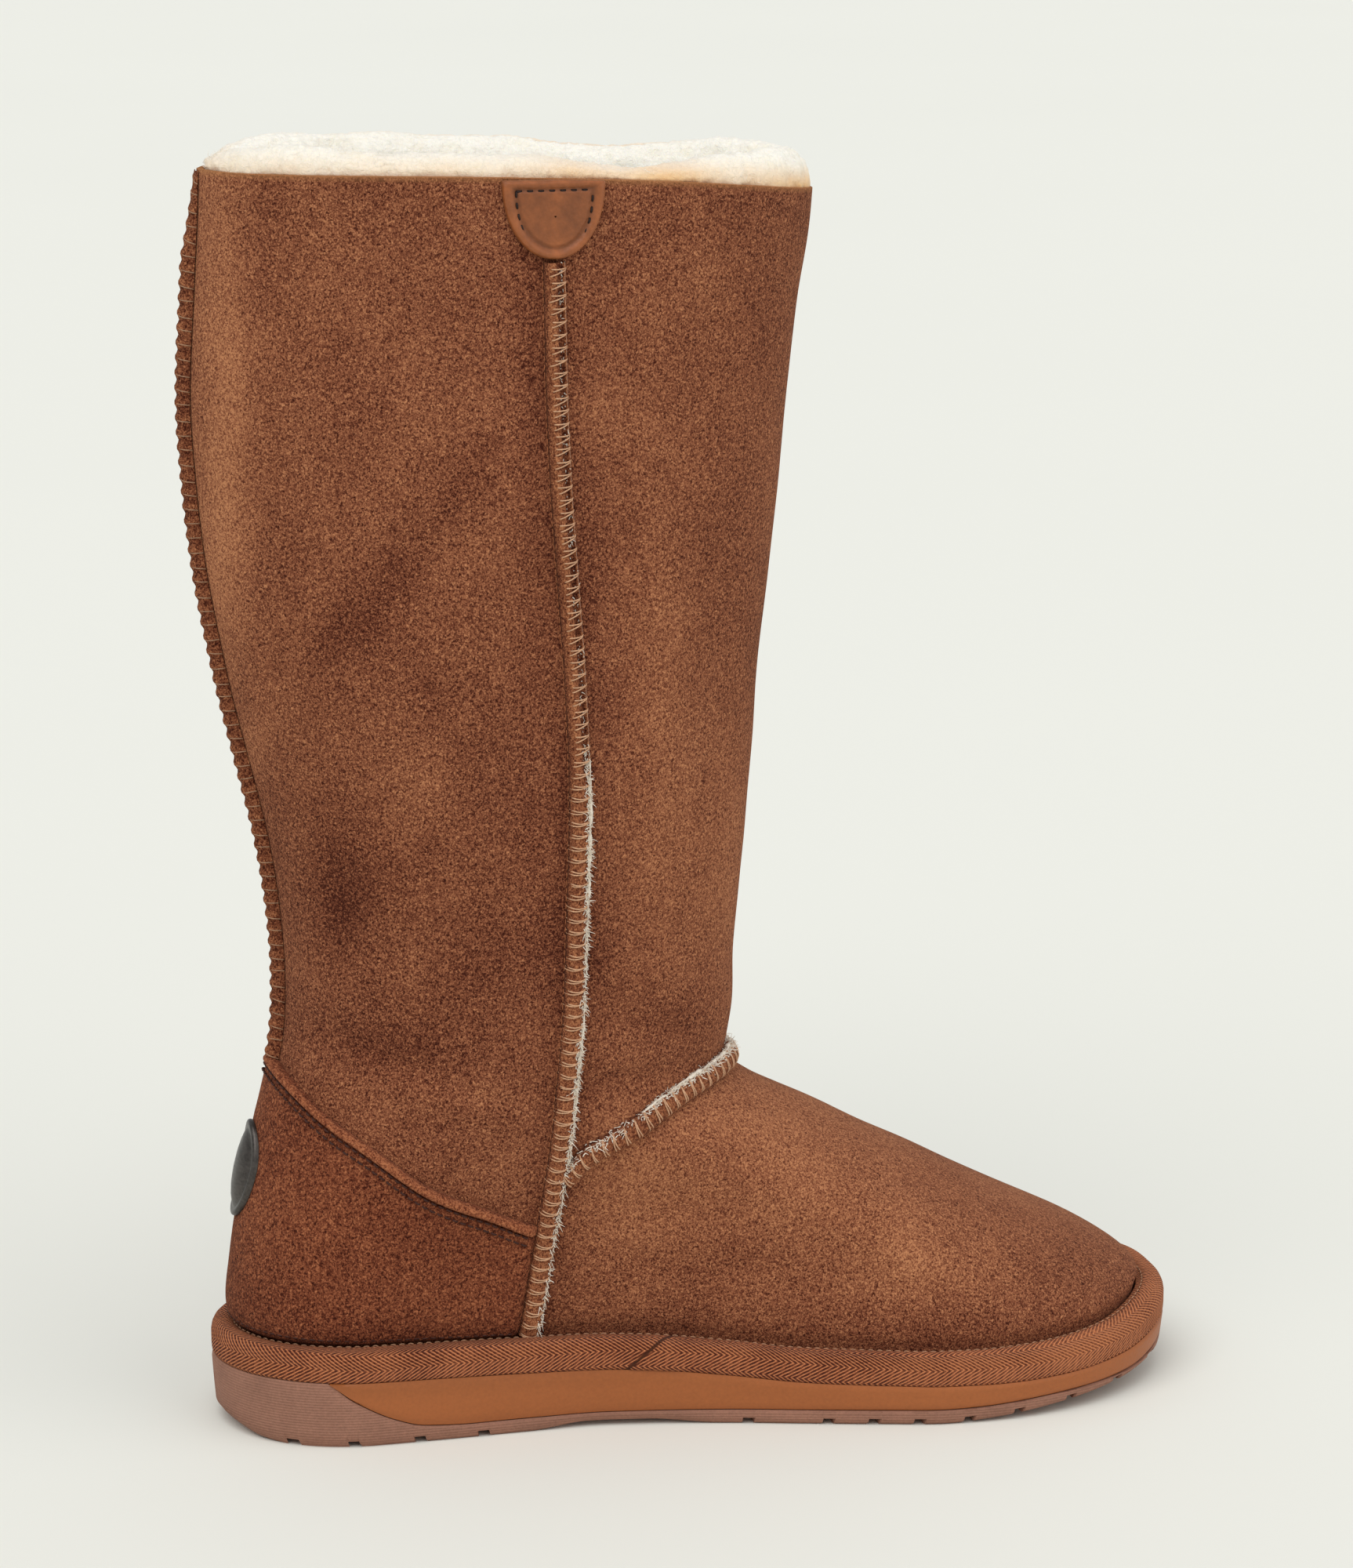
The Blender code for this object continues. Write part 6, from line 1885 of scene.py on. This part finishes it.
class BOOT_OT_wool(bpy.types.Operator):
    """Fill the collar with deep fleece, and line shaft and footbed with wool"""
    bl_idname = "boot.wool"
    bl_label = "Fleece and lining"

    def execute(self, context):
        self.material = wool("cream_wool", colour("wool"), colour("golden"))
        self.collar()
        self.lining()
        self.footbed()
        return {"FINISHED"}

    def golden(self, points):
        """Golden share of the wool: strongest on the wall's cut edge, gone a few millimetres above it."""
        x = (points[..., 0] - START.x) / SOLE_LENGTH
        edge = np.interp(x, np.linspace(0, 0.65, 40),
                         [collar_height(s * SOLE_LENGTH) for s in np.linspace(0, 0.65, 40)])
        patchy = 0.75 + 0.5 * noise_at(points, 0.018, 51.0)
        strength = 0.60 + 0.40 * smooth_step(0.15, 0.42, x)
        return np.clip(smooth_step(0.0085, 0.0, points[..., 2] - edge) * patchy * strength, 0, 1)

    def collar(self):
        """Body of the fleece, its face puffed up in soft crimped tufts that close over the slit."""
        columns = np.linspace(0, SKIN.columns, 221)
        coarse = np.stack([even_points(np.array(fleece_ring(column)), count=40) for column in columns])
        i = np.linspace(0, 220, sizes().tufts, endpoint=False)
        j = np.concatenate([np.linspace(0, 9, 7), np.linspace(9.5, 31, 76), np.linspace(31.5, 39, 10)])
        i_grid, j_grid = np.meshgrid(i, j, indexing="ij")
        rings = grid_read(coarse, i_grid, j_grid)
        around = np.roll(rings, -1, axis=0) - np.roll(rings, 1, axis=0)
        normals = unit(np.cross(np.gradient(rings, axis=1), around))
        free = smooth_step(10, 13, j)[None, :] * (1 - smooth_step(35, 39, j))[None, :]
        twist = np.stack([noise_at(rings, 0.012, seed) for seed in (61.0, 62.0, 63.0)], axis=-1)
        bent = rings + twist * 0.004
        puffs = (noise_at(rings, 0.018, 4.0) * 0.0010 + np.abs(noise_at(bent, 0.0075, 5.0)) * 0.0010
                 + np.abs(noise_at(bent, 0.0030, 6.0)) * 0.0006 + noise_at(bent, 0.0012, 7.0) * 0.00016)
        rings = rings + normals * ((puffs - 0.0004) * free)[..., None]
        faces = grid_faces(len(rings), len(j), close_rows=True, close_columns=True)
        mesh = mesh_from("fleece_body", rings, faces)
        paint(mesh, "golden", self.golden(rings) * (j < 20)[None, :])
        lay(mesh, self.material, "wool", "collar_fleece")
        self.haze(coarse)

    def haze(self, rings):
        """Fine hairs that stand a little out of crest and inner face."""
        rng = np.random.default_rng(21)
        count = sizes().hairs
        normals = unit(np.cross(np.gradient(rings, axis=1), np.gradient(rings, axis=0)))
        i, j = rng.uniform(1, len(rings) - 2, count), rng.uniform(11.5, 27, count)
        hair = fibres(grid_read(rings, i, j) + grid_read(normals, i, j) * 0.0004,
                      unit(grid_read(normals, i, j)), sizes().wool * rng.uniform(0.4, 1.0, count),
                      rng, 0.1, 0.5)
        mesh = tubes_mesh("fleece_haze", hair, [np.array((1.0, 0.9, 0.7, 0.3)) * 0.00007] * count, 3)
        paint(mesh, "golden", np.zeros(len(mesh.vertices)))
        lay(mesh, self.material, "wool", smooth=False)

    def lining(self):
        """Wool inside the wall, from under the collar's fleece down to the footbed."""
        columns = np.linspace(0, SKIN.columns, 160, endpoint=False)
        rows = np.linspace(SKIN.row_at(0.0, COLLAR_HEIGHT - FLEECE_REACH * 0.8), 6.0, 110)
        grid = np.array([SKIN.at(row, columns, -(WALL + 0.0045))[0] for row in rows])
        normals = np.array([SKIN.at(row, columns)[1] for row in rows])
        lumps = noise_at(grid, 0.008, 8.0) * 0.0014 + noise_at(grid, 0.0035, 9.0) * 0.0008
        grid -= normals * lumps[..., None]
        mesh = mesh_from("shaft_lining", grid, grid_faces(*grid.shape[:2], close_columns=True))
        paint(mesh, "golden", np.zeros(grid.shape[:2]))
        lay(mesh, self.material, "wool")

    def footbed(self):
        turns, _, _ = edge_angles(160)
        rings = []
        for share in (1.0, 1.0, 0.97, 0.9, 0.8, 0.65, 0.5, 0.35, 0.2, 0.05):
            ring = []
            for angle in turns:
                edge = upper_foot(angle, -(WALL + 2 * GAP))
                centre = np.array((mix(edge[0], START.x + SOLE_LENGTH / 2, 0.12), START.y, edge[2]))
                point = centre + (edge - centre) * share
                x = point[0] - START.x
                point[2] = sole_top(x) + GAP + FOOTBED_THICKNESS * (0.85 if share > 0.98 else 1.0)
                ring.append(point)
            rings.append(ring)
        rings = np.array(rings)
        rings[0, :, 2] -= FOOTBED_THICKNESS * 0.8
        rings[2:, :, 2] += (noise_at(rings[2:], 0.009, 5.0) * 0.0010)
        mesh = mesh_from("wool_footbed", rings, grid_faces(*rings.shape[:2], close_columns=True))
        paint(mesh, "golden", np.zeros(rings.shape[:2]))
        lay(mesh, self.material, "wool", "insole")


# Stage

class BOOT_OT_stage(bpy.types.Operator):
    """Set the pale floor and the soft studio light"""
    bl_idname = "boot.stage"
    bl_label = "Floor and light"

    def execute(self, context):
        size = 30.0
        mesh = mesh_from("studio_floor", [(-size, -size, 0), (size, -size, 0), (size, size, 0),
                                          (-size, size, 0)], [[0, 1, 2, 3]])
        finish = Finish("floor_paint", roughness=0.9, specular_ior_level=0.1)
        tint = finish.noise(0.8, 2.0)
        base = colour("floor")
        material = finish.done(finish.colours(tint, [(0.3, shade_of(base, 0.99)), (0.7, base)]))
        add_object(mesh, material)
        world = bpy.data.worlds.new("studio_world")
        world.use_nodes = True
        world.node_tree.nodes["Background"].inputs["Color"].default_value = (*WORLD_COLOUR, 1.0)
        world.node_tree.nodes["Background"].inputs["Strength"].default_value = WORLD_STRENGTH
        context.scene.world = world
        for name, place, angle, strength, tint in LIGHTS:
            data = bpy.data.lights.new(name, "SUN")
            data.angle = math.radians(angle)
            data.energy = strength
            data.color = tint
            lamp = bpy.data.objects.new(name, data)
            context.scene.collection.objects.link(lamp)
            lamp.location = place
            lamp.rotation_mode = "QUATERNION"
            lamp.rotation_quaternion = (-Vector(place)).to_track_quat("-Z", "Y")
        context.scene.view_settings.view_transform = "Standard"
        return {"FINISHED"}


class BOOT_PT_panel(bpy.types.Panel):
    """Steps of the boot's making, with its sizes and colours"""
    bl_idname = "BOOT_PT_panel"
    bl_label = "Sheepskin boot"
    bl_space_type = "VIEW_3D"
    bl_region_type = "UI"
    bl_category = "Boot"

    def draw(self, context):
        for operator in OPERATORS:
            self.layout.operator(operator.bl_idname)
        for group in (context.scene.boot_sizes, context.scene.boot_colours):
            for name in group.bl_rna.properties.keys():
                if name not in ("rna_type", "name"):
                    self.layout.prop(group, name)


OPERATORS = (
    BOOT_OT_camera, BOOT_OT_bow, BOOT_OT_upper, BOOT_OT_counter, BOOT_OT_seams, BOOT_OT_tab,
    BOOT_OT_badge, BOOT_OT_binding, BOOT_OT_sole, BOOT_OT_wool, BOOT_OT_stage,
)
CLASSES = (BootSizes, BootColours, *OPERATORS, BOOT_PT_panel)


def register():
    for kind in CLASSES:
        bpy.utils.register_class(kind)
    bpy.types.Scene.boot_sizes = PointerProperty(type=BootSizes)
    bpy.types.Scene.boot_colours = PointerProperty(type=BootColours)


def unregister():
    del bpy.types.Scene.boot_colours
    del bpy.types.Scene.boot_sizes
    for kind in reversed(CLASSES):
        bpy.utils.unregister_class(kind)


def main():
    register()
    SKIN.points += SKIN.normals * relief(SKIN)[..., None]
    SKIN.measure()
    for operator in OPERATORS:
        group, name = operator.bl_idname.split(".")
        getattr(getattr(bpy.ops, group), name)()


if __name__ == "__main__":
    main()
